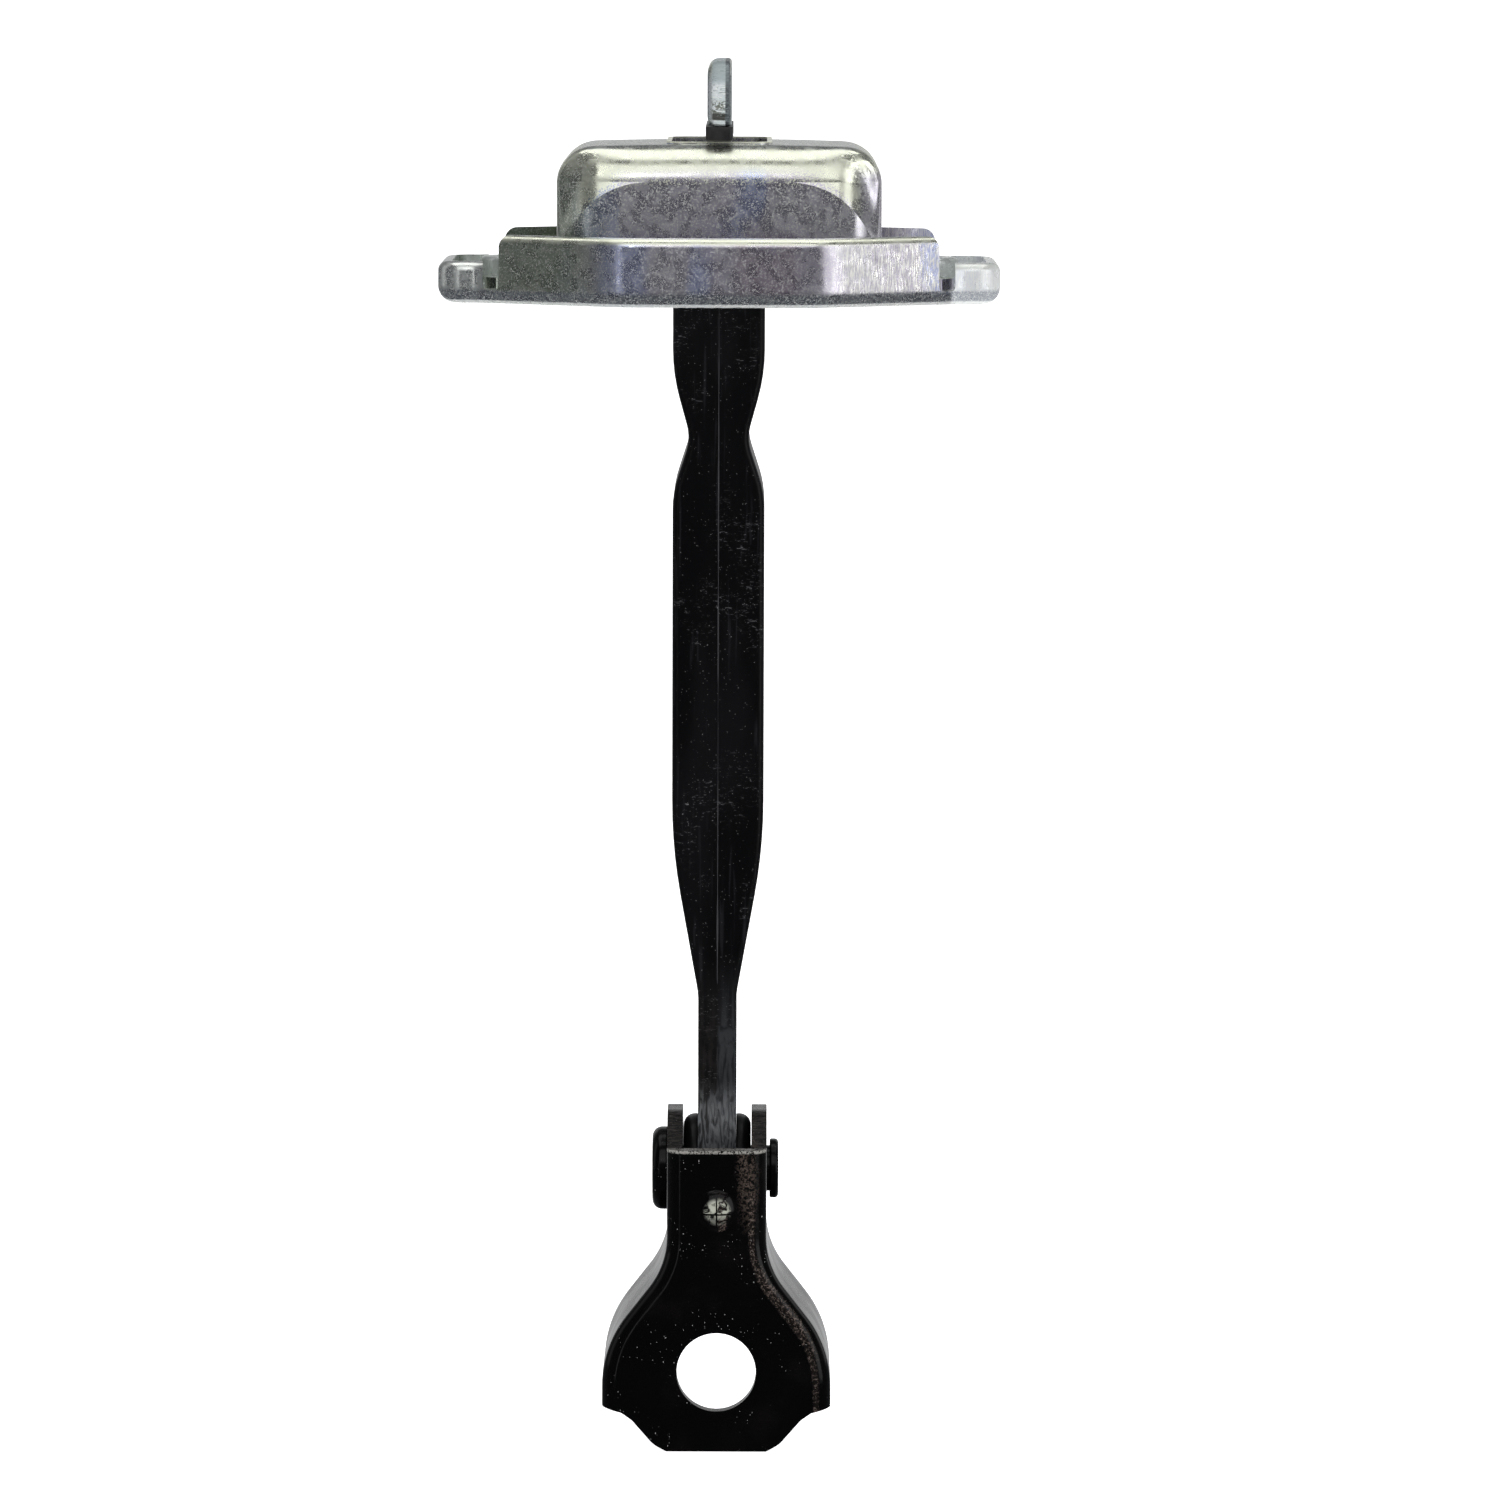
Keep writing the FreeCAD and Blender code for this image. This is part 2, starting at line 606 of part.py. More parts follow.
def make_bracket():
    """U-bracket: narrow ears at the pivot, flaring to a channel round the pillar bolt."""
    body = new_body("bracket")
    top = dim("pivot_height") + dim("bracket_back")
    front, back, inside = -dim("bracket_front"), dim("bracket_back"), dim("bracket_sheet")
    foot, tongue = dim("flange_foot"), dim("tongue_half")
    outline = mirrored([
        (dim("bracket_half"), top, 0), *bracket_flank(), (dim("bracket_foot"), foot, 0),
        (tongue + 1.2, foot - 0.6, 1.0), (tongue - 0.2, foot - 1.6, 2.0),
        (tongue - 3.0, dim("tongue_foot") + 0.9, 4.0), (tongue - 4.7, dim("tongue_foot"), 0.3),
    ])
    # the XZ plane's normal is -Y, so an offset of bracket_front is the web's front face
    face = new_sketch(body, "XZ_Plane", rounded(outline), dim("bracket_front"))
    blank = pad(body, face, "bracket_front + bracket_back", reverse=True)

    def bend(edge):
        box = edge.BoundBox
        return (abs(box.YMin - front) < 1e-3 and abs(box.YMax - front) < 1e-3
                and box.ZMin > foot + 0.5 and box.ZMax < top + 1e-3 and box.ZLength > 0.5)
    fillet(body, blank, "bracket_bend", bend)
    pip = body.newObject("PartDesign::AdditiveSphere", "Pip")
    pip.AttachmentOffset = FreeCAD.Placement(
        Vector(0, front - dim("pip_rise") + dim("pip_sphere"), dim("pip_height")),
        FreeCAD.Rotation())
    pip.AttachmentSupport = [(next(f for f in body.Origin.OriginFeatures
                                   if f.Role == "XY_Plane"), "")]
    pip.MapMode = "FlatFace"
    bind(pip, Radius="pip_sphere")
    doc.recompute()
    channel = mirrored([
        (dim("bracket_half") - inside, top + 4, 0), *bracket_flank(inside),
        (dim("bracket_foot") - inside, dim("tongue_foot") - 4, 0),
    ])
    cavity = new_sketch(body, "XZ_Plane", rounded(channel), dim("bracket_front") - inside)
    pocket(body, cavity, "bracket_front + bracket_back")
    pivot = dim("pivot_height")
    ear_trim = [
        (front - 4, dim("web_top"), 0), (front + inside, dim("web_top"), 1.0),
        (front + inside + 1.6, dim("web_top") + 1.4, 3.0), (-5.2, top, 5.0), (back, top, back),
        (back, pivot, 0), (back + 4, pivot, 0), (back + 4, top + 4, 0), (front - 4, top + 4, 0),
    ]
    pocket(body, new_sketch(body, "YZ_Plane", rounded(ear_trim)))
    foot_trim = [
        (front + inside, foot + 0.2, 0), (back, foot + 0.2, 3.0), (back, foot + 6, 0),
        (back + 4, foot + 6, 0),
        (back + 4, dim("tongue_foot") - 4, 0), (front + inside, dim("tongue_foot") - 4, 0),
    ]
    pocket(body, new_sketch(body, "YZ_Plane", rounded(foot_trim)))
    dimple = body.newObject("PartDesign::SubtractiveSphere", "Dimple")
    dimple.AttachmentOffset = pip.AttachmentOffset
    dimple.AttachmentSupport = pip.AttachmentSupport
    dimple.MapMode = "FlatFace"
    bind(dimple, Radius="pip_sphere - pip_wall")
    doc.recompute()
    pocket(body, circle(body, "XZ_Plane", "pillar_hole", (0, dim("pillar_hole_height"))))
    pivot_hole = Part.Circle(Vector(0, pivot, 0), Vector(0, 0, 1),
                             dim("shank_radius") + dim("shank_play"))
    pocket(body, new_sketch(body, "YZ_Plane", [pivot_hole]))
    return keep(body, "bracket")


def make_pivot_rivet():
    """Rivet through both ears: broad rounded head on the left, upset end on the right."""
    body = new_body("pivot_rivet")
    face = dim("bracket_half")
    shank, head, upset = dim("shank_radius"), dim("rivet_head"), dim("rivet_upset")
    left = -face - 0.02
    right = face + dim("upset_gap")
    revolve(body, [
        (left - dim("rivet_head_rise"), 0, 0), (left - dim("rivet_head_rise"), head, 1.3),
        (left, head, 0.2), (left, shank, 0), (right, shank, 0), (right, upset, 0.25),
        (right + dim("rivet_upset_rise"), upset, 0.5), (right + dim("rivet_upset_rise"), 0, 0),
    ])
    place(body, "pivot_height")
    return keep(body, "pivot_rivet")


make_mounting_plate()
make_housing_case()
core_plate = make_core_plate()
make_arm_cover(core_plate)
make_stop_buffer()
for word, sign in SIDES:
    make_nut("clinch_nut_" + word, sign)
    make_rubber_spring("rubber_spring_" + word, sign)
    make_pressure_plate("pressure_plate_" + word, sign)
    make_shoe("shoe_" + word, sign)
    make_roller("shoe_roller_" + word, sign)
    make_bush("bush_" + word, sign)
make_bracket()
make_pivot_rivet()
doc.recompute()

for item in doc.Objects:
    if "Invalid" in item.State or "Error" in item.State:
        raise RuntimeError(f"{item.Label} failed: {item.State}")
os.makedirs("parts", exist_ok=True)
for node in nodes:
    if node.Shape.isNull() or not node.Shape.isValid():
        raise RuntimeError(f"{node.Label} has no valid shape")
    node.Shape.exportStep(f"parts/{node.Label}.step")
    print(node.Label, len(node.Shape.Solids), round(node.Shape.Volume, 1))
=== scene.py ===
"""Looks of a vehicle door check: a zinc housing, a black resin arm and a coated pillar bracket.

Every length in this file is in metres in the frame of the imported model: Z = 0 is the face that
sits on the door, +Z runs up the arm to its hammer head and X is the axis of the arm's pivot.
"""

import logging
import math
from dataclasses import dataclass, field
from enum import Enum

import bpy
import numpy as np
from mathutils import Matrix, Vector


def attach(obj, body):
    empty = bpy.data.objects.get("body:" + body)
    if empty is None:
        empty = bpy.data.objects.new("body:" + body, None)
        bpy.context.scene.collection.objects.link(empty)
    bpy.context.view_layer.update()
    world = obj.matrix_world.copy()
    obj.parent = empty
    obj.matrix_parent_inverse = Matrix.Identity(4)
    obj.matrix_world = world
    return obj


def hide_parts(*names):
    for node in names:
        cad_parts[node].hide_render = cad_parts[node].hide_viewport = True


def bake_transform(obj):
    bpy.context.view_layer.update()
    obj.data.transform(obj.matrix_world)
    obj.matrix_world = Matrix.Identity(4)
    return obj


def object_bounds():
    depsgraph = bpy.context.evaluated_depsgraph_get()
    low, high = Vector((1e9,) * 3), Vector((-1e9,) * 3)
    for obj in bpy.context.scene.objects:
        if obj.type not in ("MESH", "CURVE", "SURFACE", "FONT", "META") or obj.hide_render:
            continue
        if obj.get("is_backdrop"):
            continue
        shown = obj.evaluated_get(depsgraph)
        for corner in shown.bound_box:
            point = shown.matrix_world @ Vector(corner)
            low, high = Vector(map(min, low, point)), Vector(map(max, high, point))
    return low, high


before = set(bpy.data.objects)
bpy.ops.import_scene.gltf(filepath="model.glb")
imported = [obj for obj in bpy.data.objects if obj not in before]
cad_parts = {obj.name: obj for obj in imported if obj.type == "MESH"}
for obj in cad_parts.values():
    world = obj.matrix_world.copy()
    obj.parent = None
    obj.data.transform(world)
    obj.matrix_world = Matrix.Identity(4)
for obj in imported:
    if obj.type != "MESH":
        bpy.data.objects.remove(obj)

MM = 0.001
LOG = logging.getLogger("door_check")

Colour = tuple[float, float, float]
Socket = bpy.types.NodeSocket
Array = np.ndarray


class Side(Enum):
    """The two sides of the arm, by the sign of X."""

    LEFT = -1
    RIGHT = 1

    @property
    def word(self) -> str:
        """The side as it stands in node names."""
        return self.name.lower()


class Hue(Enum):
    """Tints of the passivated zinc's film; straw and silver are also painted on by facing as sheen.
    """

    # Straw is painted as sheen on upward faces and as a highlight above the arch; silver is a film
    # tint that is also painted as sheen.
    STRAW = (0.93, 0.96, 0.77)
    SILVER = (0.88, 0.92, 0.90)
    VIOLET = (0.62, 0.58, 0.68)
    BLUE = (0.44, 0.54, 0.88)
    OLIVE = (0.36, 0.42, 0.31)
    PLUM = (0.44, 0.34, 0.42)


# ---- node tree helpers ----

MIX_FIRST, MIX_SECOND, MIX_RESULT = 6, 7, 2  # the colour sockets of a Mix node, by number


class Recipe:
    """One finish under construction: a material, its shader and short calls for its nodes."""

    def __init__(self, name: str) -> None:
        """Start an empty finish.

        Args:
            name: name of the material.
        """
        self.material = bpy.data.materials.new(name)
        self.material.use_nodes = True
        self.tree = self.material.node_tree
        self.shader = self.tree.nodes["Principled BSDF"]
        coordinates = self.tree.nodes.new("ShaderNodeTexCoord")
        self.place: Socket = coordinates.outputs["Object"]
        self.facing: Socket = coordinates.outputs["Normal"]

    def put(self, socket: Socket, value: object) -> None:
        """Feed a socket from another socket, a number or a colour.

        Args:
            socket: the input to feed.
            value: a socket, a number or three channels.
        """
        if isinstance(value, bpy.types.NodeSocket):
            self.tree.links.new(value, socket)
        elif isinstance(value, tuple) and socket.type == "RGBA":
            socket.default_value = (*value, 1.0)
        else:
            socket.default_value = value

    def set(self, **values: object) -> None:
        """Set shader inputs by name, with underscores for the spaces."""
        for name, value in values.items():
            self.put(self.shader.inputs[name.replace("_", " ")], value)

    def axes(self, vector: Socket) -> tuple[Socket, Socket, Socket]:
        """Split a vector into its three parts.

        Args:
            vector: the vector.

        Returns:
            Its X, Y and Z.
        """
        node = self.tree.nodes.new("ShaderNodeSeparateXYZ")
        self.put(node.inputs[0], vector)
        return node.outputs[0], node.outputs[1], node.outputs[2]

    def math(self, kind: str, first: object, second: object = 0.0) -> Socket:
        """Combine two numbers.

        Args:
            kind: Blender's name of the operation.
            first: a socket or a number.
            second: a socket or a number.

        Returns:
            The result.
        """
        node = self.tree.nodes.new("ShaderNodeMath")
        node.operation = kind
        self.put(node.inputs[0], first)
        self.put(node.inputs[1], second)
        return node.outputs[0]

    def span(self, value: Socket, low: float, high: float, start: float = 0.0,
             end: float = 1.0) -> Socket:
        """Carry a number smoothly from one range to another, and hold it there.

        Args:
            value: the number.
            low: where the change begins.
            high: where it ends.
            start: result at low.
            end: result at high.

        Returns:
            The carried number.
        """
        node = self.tree.nodes.new("ShaderNodeMapRange")
        node.interpolation_type = "SMOOTHSTEP"
        self.put(node.inputs["Value"], value)
        for name, number in (("From Min", low), ("From Max", high), ("To Min", start),
                             ("To Max", end)):
            node.inputs[name].default_value = number
        return node.outputs["Result"]

    def noise(self, size: float, detail: float = 3.0, stretch: Colour = (1.0, 1.0, 1.0),
              seed: float = 0.0, warp: float = 0.0) -> Socket:
        """Cloudy variation with features of a given size.

        Args:
            size: size of the features.
            detail: octaves of finer detail.
            stretch: how much longer the features are along each axis.
            seed: shift that gives another pattern.
            warp: distortion of the pattern.

        Returns:
            A number from 0 to 1.
        """
        mapping = self.tree.nodes.new("ShaderNodeMapping")
        mapping.inputs["Location"].default_value = (seed, seed * 0.7, seed * 1.3)
        mapping.inputs["Scale"].default_value = tuple(1.0 / (size * part) for part in stretch)
        self.put(mapping.inputs["Vector"], self.place)
        node = self.tree.nodes.new("ShaderNodeTexNoise")
        node.inputs["Scale"].default_value = 1.0
        node.inputs["Detail"].default_value = detail
        node.inputs["Distortion"].default_value = warp
        self.put(node.inputs["Vector"], mapping.outputs[0])
        return node.outputs["Fac"]

    def mix(self, share: object, first: object, second: object) -> Socket:
        """Mix two colours.

        Args:
            share: how much of the second colour, from 0 to 1.
            first: a socket or a colour.
            second: a socket or a colour.

        Returns:
            The mixed colour.
        """
        node = self.tree.nodes.new("ShaderNodeMix")
        node.data_type = "RGBA"
        self.put(node.inputs["Factor"], share)
        self.put(node.inputs[MIX_FIRST], first)
        self.put(node.inputs[MIX_SECOND], second)
        return node.outputs[MIX_RESULT]

    def either(self, first: Socket, second: Socket) -> Socket:
        """The larger of two masks."""
        return self.math("MAXIMUM", first, second)

    def both(self, first: Socket, second: Socket) -> Socket:
        """The product of two masks."""
        return self.math("MULTIPLY", first, second)

    def band(self, value: Socket, centre: float, half: float, soft: float) -> Socket:
        """A mask that is 1 within a band of a coordinate.

        Args:
            value: the coordinate.
            centre: middle of the band.
            half: half its width.
            soft: width of its soft edge.

        Returns:
            The mask.
        """
        away = self.math("ABSOLUTE", self.math("SUBTRACT", value, centre))
        return self.span(away, half, half + soft, 1.0, 0.0)

    def relief(self, height: Socket, depth: float, below: Socket | None = None) -> Socket:
        """Raise the surface by a height pattern.

        Args:
            height: the pattern, from 0 to 1.
            depth: its full height.
            below: the normal of the relief underneath, if there is one.

        Returns:
            The new normal.
        """
        node = self.tree.nodes.new("ShaderNodeBump")
        node.inputs["Strength"].default_value = 1.0
        node.inputs["Distance"].default_value = depth
        self.put(node.inputs["Height"], height)
        if below is not None:
            self.put(node.inputs["Normal"], below)
        return node.outputs["Normal"]


# ---- finishes ----

@dataclass(frozen=True)
class ZincPlating:
    """Passivated zinc on pressed steel: film tints, painted sheen and shade by facing, speckle and
    scratches.

    The arch is the edge of a case's upper face. It stands at arch_height in the middle and falls
    by arch_fall at arch_half from it, along a fifth power. Above it the surface leans back by
    lean over lean_run, up to arch_top, and straw is painted on its front faces as a highlight;
    a pale highlight line is also painted at rim_height.
    """

    name: str
    roughness: float = 0.27
    speckle: float = 0.55
    banded: bool = False
    scratches_and_painted_reflection: bool = False
    arch_and_painted_highlight: bool = False
    stripes: tuple[tuple[float, float, Hue], ...] = ((-11.5 * MM, 2.0 * MM, Hue.BLUE),
                                                     (7.0 * MM, 2.6 * MM, Hue.PLUM))
    arch_half: float = 17.0 * MM
    arch_fall: float = 3.6 * MM
    arch_height: float = 16.1 * MM
    arch_top: float = 15.9 * MM
    lean: float = 2.6 * MM
    lean_run: float = 8.0 * MM
    rim_height: float = 20.64 * MM
    wing_start: float = 13.5 * MM
    lug_start: float = 29.6 * MM

    def make(self) -> bpy.types.Material:
        """Build the finish.

        Returns:
            The material.
        """
        mix = Recipe(self.name)
        across, _, height = mix.axes(mix.place)
        _, ahead, up = mix.axes(mix.facing)
        cloud = mix.noise(7 * MM, 1.0, seed=3.0)
        patch = mix.noise(9.0 * MM, 2.0, stretch=(1.0, 1.0, 3.0), seed=11.0)
        film = mix.mix(mix.span(cloud, 0.40, 0.66, 0.0, 0.28), Hue.VIOLET.value,
                       Hue.SILVER.value)
        film = mix.mix(mix.span(patch, 0.54, 0.66, 0.0, 0.6), film, Hue.BLUE.value)
        if self.banded:
            for centre, half, hue in self.stripes:
                drift = mix.math("ADD", across, mix.math("MULTIPLY", cloud, 2.0 * MM))
                stripe = mix.band(drift, centre, half, 2.5 * MM)
                film = mix.mix(mix.math("MULTIPLY", stripe, 0.55), film, hue.value)
        film = mix.mix(mix.span(across, -12 * MM, -20 * MM, 0.0, 0.85), film, Hue.OLIVE.value)
        # Painted sheen by facing: straw on upward faces, silver on flat tops and on undersides, as
        # the lamps and the floor would light them.
        film = mix.mix(mix.span(up, 0.10, 0.55), film, Hue.STRAW.value)
        film = mix.mix(mix.span(up, 0.86, 0.97, 0.0, 0.8), film, Hue.SILVER.value)
        film = mix.mix(mix.span(up, -0.15, -0.5, 0.0, 0.8), film, Hue.SILVER.value)
        grain = mix.noise(0.17 * MM, 2.0, seed=5.0)
        bright = mix.span(grain, 0.50, 0.64, 0.0, self.speckle)
        film = mix.mix(bright, film, (0.93, 0.94, 0.90))
        pits = mix.span(mix.noise(0.22 * MM, 1.0, seed=23.0), 0.36, 0.27, 0.0, 0.10)
        film = mix.mix(pits, film, (0.16, 0.15, 0.18))
        scratch = mix.noise(0.10 * MM, 2.0, stretch=(60.0, 40.0, 1.0), seed=31.0, warp=0.4)
        film = mix.mix(mix.span(scratch, 0.63, 0.72, 0.0, 0.35), film, (0.9, 0.9, 0.88))
        normal = mix.relief(mix.noise(0.9 * MM, 2.0, seed=2.0), 0.006 * MM)
        normal = mix.relief(grain, 0.003 * MM, normal)
        if self.arch_and_painted_highlight:
            away = mix.math("DIVIDE", mix.math("ABSOLUTE", across), self.arch_half)
            fall = mix.math("MULTIPLY", mix.math("POWER", away, 5.0), self.arch_fall)
            above = mix.math("MINIMUM", height, self.arch_top)
            ragged = mix.span(grain, 0.3, 0.7, -0.9 * MM, 0.9 * MM)
            above = mix.math("SUBTRACT", mix.math("ADD", above, fall), self.arch_height)
            # Painted highlight: straw on the front faces above the arch.
            front = mix.span(ahead, -0.80, -0.95)
            painted_arch_highlight = mix.span(mix.math("ADD", above, ragged), 0.0, 0.6 * MM, 0.0, 0.85)
            film = mix.mix(mix.both(front, painted_arch_highlight), film, Hue.STRAW.value)
            # Painted highlight: a pale line at rim_height, made less metallic further down.
            painted_rim_highlight = mix.span(height, self.rim_height, self.rim_height + 0.1 * MM)
            film = mix.mix(painted_rim_highlight, film, (0.93, 0.95, 0.78))
            slope = mix.math("MAXIMUM", mix.math("DIVIDE", above, self.lean_run), 0.0)
            slope = mix.both(slope, mix.span(ahead, -0.30, -0.97))
            crest = mix.math("SUBTRACT", 1.0, slope)
            normal = mix.relief(crest, self.lean, normal)
        if self.scratches_and_painted_reflection:
            wing = mix.both(mix.span(across, self.wing_start, self.wing_start + 3.5 * MM),
                            mix.span(up, 0.6, 0.3))
            marks = mix.noise(0.16 * MM, 3.0, stretch=(1.0, 1.0, 9.0), seed=41.0, warp=0.6)
            scored = mix.both(wing, mix.span(marks, 0.44, 0.60))
            film = mix.mix(scored, film, (0.95, 0.94, 0.90))
            normal = mix.relief(mix.both(wing, marks), 0.05 * MM, normal)
            # Painted reflection: pale, less metallic zinc on the ear ends beyond lug_start.
            painted_ear_reflection = mix.span(mix.math("ABSOLUTE", across), self.lug_start,
                           self.lug_start + 0.6 * MM, 0.0, 0.75)
            film = mix.mix(painted_ear_reflection, film, (0.93, 0.96, 0.95))
            # Painted reflection: pale speckle on the plate low down, near its bend.
            painted_low_reflection = mix.span(height, 2.6 * MM, 1.2 * MM, 0.0, 0.5)
            film = mix.mix(mix.both(painted_low_reflection, mix.span(grain, 0.40, 0.55)), film,
                           (0.88, 0.91, 0.88))
        rough = mix.span(mix.noise(1.6 * MM, 4.0, seed=7.0), 0.3, 0.7,
                         self.roughness - 0.06, self.roughness + 0.10)
        milky = mix.span(up, -0.74, -0.82, 0.97, 0.60)
        milky = mix.math("SUBTRACT", milky, mix.math("MULTIPLY", bright, 0.42))
        if self.arch_and_painted_highlight:
            milky = mix.both(milky, mix.span(painted_rim_highlight, 0.0, 1.0, 1.0, 0.25))
        if self.scratches_and_painted_reflection:
            milky = mix.both(milky, mix.span(across, self.lug_start,
                                             self.lug_start + 0.6 * MM, 1.0, 0.45))
        # Painted shade: blue-grey darkening on faces that tilt downwards.
        painted_underside_shade = mix.both(mix.span(up, -0.08, -0.30), mix.span(up, -0.84, -0.72))
        film = mix.mix(mix.math("MULTIPLY", painted_underside_shade, mix.span(grain, 0.62, 0.46, 0.15, 0.80)),
                       film, (0.30, 0.33, 0.40))
        mix.set(Base_Color=film, Metallic=milky, Roughness=rough, Normal=normal)
        return mix.material


@dataclass(frozen=True)
class ShearedZinc:
    """Zinc on the stamped core: smooth faces with straw sheen painted on upward ones, and an edge
    half burnished and half torn.
    """

    name: str

    def make(self) -> bpy.types.Material:
        """Build the finish.

        Returns:
            The material.
        """
        mix = Recipe(self.name)
        across, _, height = mix.axes(mix.place)
        side, _, up = mix.axes(mix.facing)
        flat = mix.math("ABSOLUTE", side)
        edge = mix.span(flat, 0.75, 0.45)
        torn = mix.both(edge, mix.span(across, 0.70 * MM, 0.85 * MM))
        cloud = mix.noise(2.5 * MM, 2.0, seed=4.0)
        film = mix.mix(mix.span(cloud, 0.4, 0.6), (0.62, 0.68, 0.68), (0.74, 0.78, 0.80))
        # Painted sheen: straw on upward faces.
        film = mix.mix(mix.span(up, 0.1, 0.7, 0.0, 0.6), film, Hue.STRAW.value)
        strokes = mix.noise(0.25 * MM, 3.0, stretch=(5.0, 1.6, 1.0), seed=9.0, warp=1.2)
        film = mix.mix(mix.both(edge, mix.span(strokes, 0.42, 0.34, 0.0, 0.6)), film,
                       (0.22, 0.25, 0.24))
        film = mix.mix(mix.both(edge, mix.span(strokes, 0.55, 0.62, 0.0, 0.9)), film,
                       (0.95, 0.97, 0.93))
        film = mix.mix(mix.both(edge, mix.span(height, 27.9 * MM, 28.9 * MM, 0.0, 0.85)), film,
                       (0.36, 0.43, 0.45))
        blot = mix.noise(0.5 * MM, 3.0, seed=44.0, warp=0.6)
        scar = mix.both(edge, mix.band(height, 25.3 * MM, 0.6 * MM, 0.5 * MM))
        film = mix.mix(mix.both(scar, mix.span(blot, 0.44, 0.56, 0.0, 0.85)), film,
                       (0.10, 0.11, 0.08))
        scar = mix.both(edge, mix.band(height, 24.15 * MM, 0.35 * MM, 0.2 * MM))
        film = mix.mix(mix.both(scar, mix.span(blot, 0.30, 0.42, 0.4, 0.95)), film,
                       (0.035, 0.035, 0.028))
        film = mix.mix(mix.both(torn, mix.span(cloud, 0.2, 0.5, 0.85, 0.95)), film,
                       (0.22, 0.25, 0.26))
        normal = mix.relief(mix.both(edge, strokes), 0.09 * MM)
        normal = mix.relief(mix.noise(0.5 * MM, 3.0, seed=15.0), 0.015 * MM, normal)
        burnished = mix.both(edge, mix.span(across, 0.85 * MM, 0.70 * MM))
        mix.set(Base_Color=film, Metallic=mix.span(burnished, 0.0, 1.0, 0.9, 0.15),
                Normal=normal, Roughness=mix.span(strokes, 0.3, 0.7, 0.24, 0.40))
        return mix.material


@dataclass(frozen=True)
class MouldedResin:
    """Black glass-filled resin: satin skin, drag lines in the detents, scuffs, dust, and painted
    light on the neck.
    """

    name: str
    tone: Colour = (0.0010, 0.0009, 0.0014)
    thin_below: float = -88 * MM

    def make(self) -> bpy.types.Material:
        """Build the finish.

        Returns:
            The material.
        """
        mix = Recipe(self.name)
        across, _, height = mix.axes(mix.place)
        cloud = mix.noise(7 * MM, 3.0, stretch=(1.0, 1.0, 4.0), seed=2.0)
        skin = mix.mix(mix.span(cloud, 0.45, 0.65, 0.0, 0.7), self.tone, (0.0030, 0.0028, 0.0042))
        flow = mix.noise(0.5 * MM, 3.0, stretch=(1.0, 1.0, 26.0), seed=6.0, warp=0.3)
        skin = mix.mix(mix.span(flow, 0.60, 0.70, 0.0, 0.5), skin, (0.016, 0.016, 0.020))
        region = mix.noise(6 * MM, 1.0, seed=17.0)
        scuff = mix.noise(0.28 * MM, 3.0, stretch=(4.0, 4.0, 1.0), seed=12.0, warp=2.2)
        scuffs = mix.both(mix.span(region, 0.50, 0.62), mix.span(scuff, 0.62, 0.70))
        skin = mix.mix(mix.both(scuffs, mix.span(cloud, 0.2, 0.6, 0.35, 0.6)), skin,
                       (0.16, 0.16, 0.17))
        dust = mix.span(mix.noise(0.16 * MM, 0.0, seed=51.0), 0.83, 0.86, 0.0, 0.5)
        skin = mix.mix(dust, skin, (0.30, 0.30, 0.30))
        _, ahead, _ = mix.axes(mix.facing)
        thin = mix.span(height, self.thin_below + 4 * MM, self.thin_below - 10 * MM)
        thin = mix.both(thin, mix.span(mix.math("ABSOLUTE", ahead), 0.45, 0.75))
        # Painted light on the neck's front and back: brownish on the half left of the parting line,
        # bluish grey and lighter on the half right of it, as the two facets would catch the light.
        painted_left_half_sheen = mix.both(thin, mix.span(across, 0.2 * MM, -0.4 * MM))
        painted_right_half_sheen = mix.both(thin, mix.span(across, -0.2 * MM, 0.4 * MM))
        skin = mix.mix(mix.both(painted_left_half_sheen, mix.span(flow, 0.35, 0.6, 0.1, 0.6)), skin,
                       (0.016, 0.013, 0.011))
        skin = mix.mix(mix.both(painted_right_half_sheen, mix.span(flow, 0.35, 0.6, 0.35, 1.0)), skin,
                       (0.026, 0.028, 0.031))
        # Painted highlight: grey streaks low on the neck, with a matching bump.
        patches = mix.noise(0.9 * MM, 4.0, stretch=(0.6, 1.0, 3.0), seed=37.0, warp=1.4)
        low = mix.both(thin, mix.span(height, self.thin_below - 13 * MM, self.thin_below - 20 * MM))
        low = mix.both(low, mix.span(patches, 0.34, 0.60, 0.15, 0.9))
        skin = mix.mix(low, skin, (0.20, 0.21, 0.22))
        normal = mix.relief(mix.noise(0.9 * MM, 3.0, seed=8.0), 0.016 * MM)
        normal = mix.relief(flow, 0.012 * MM, normal)
        normal = mix.relief(mix.both(low, patches), 0.15 * MM, normal)
        rough = mix.span(cloud, 0.3, 0.7, 0.30, 0.44)
        mix.set(Base_Color=skin, Roughness=rough, Normal=normal, IOR=1.5,
                Specular_IOR_Level=0.20)
        return mix.material


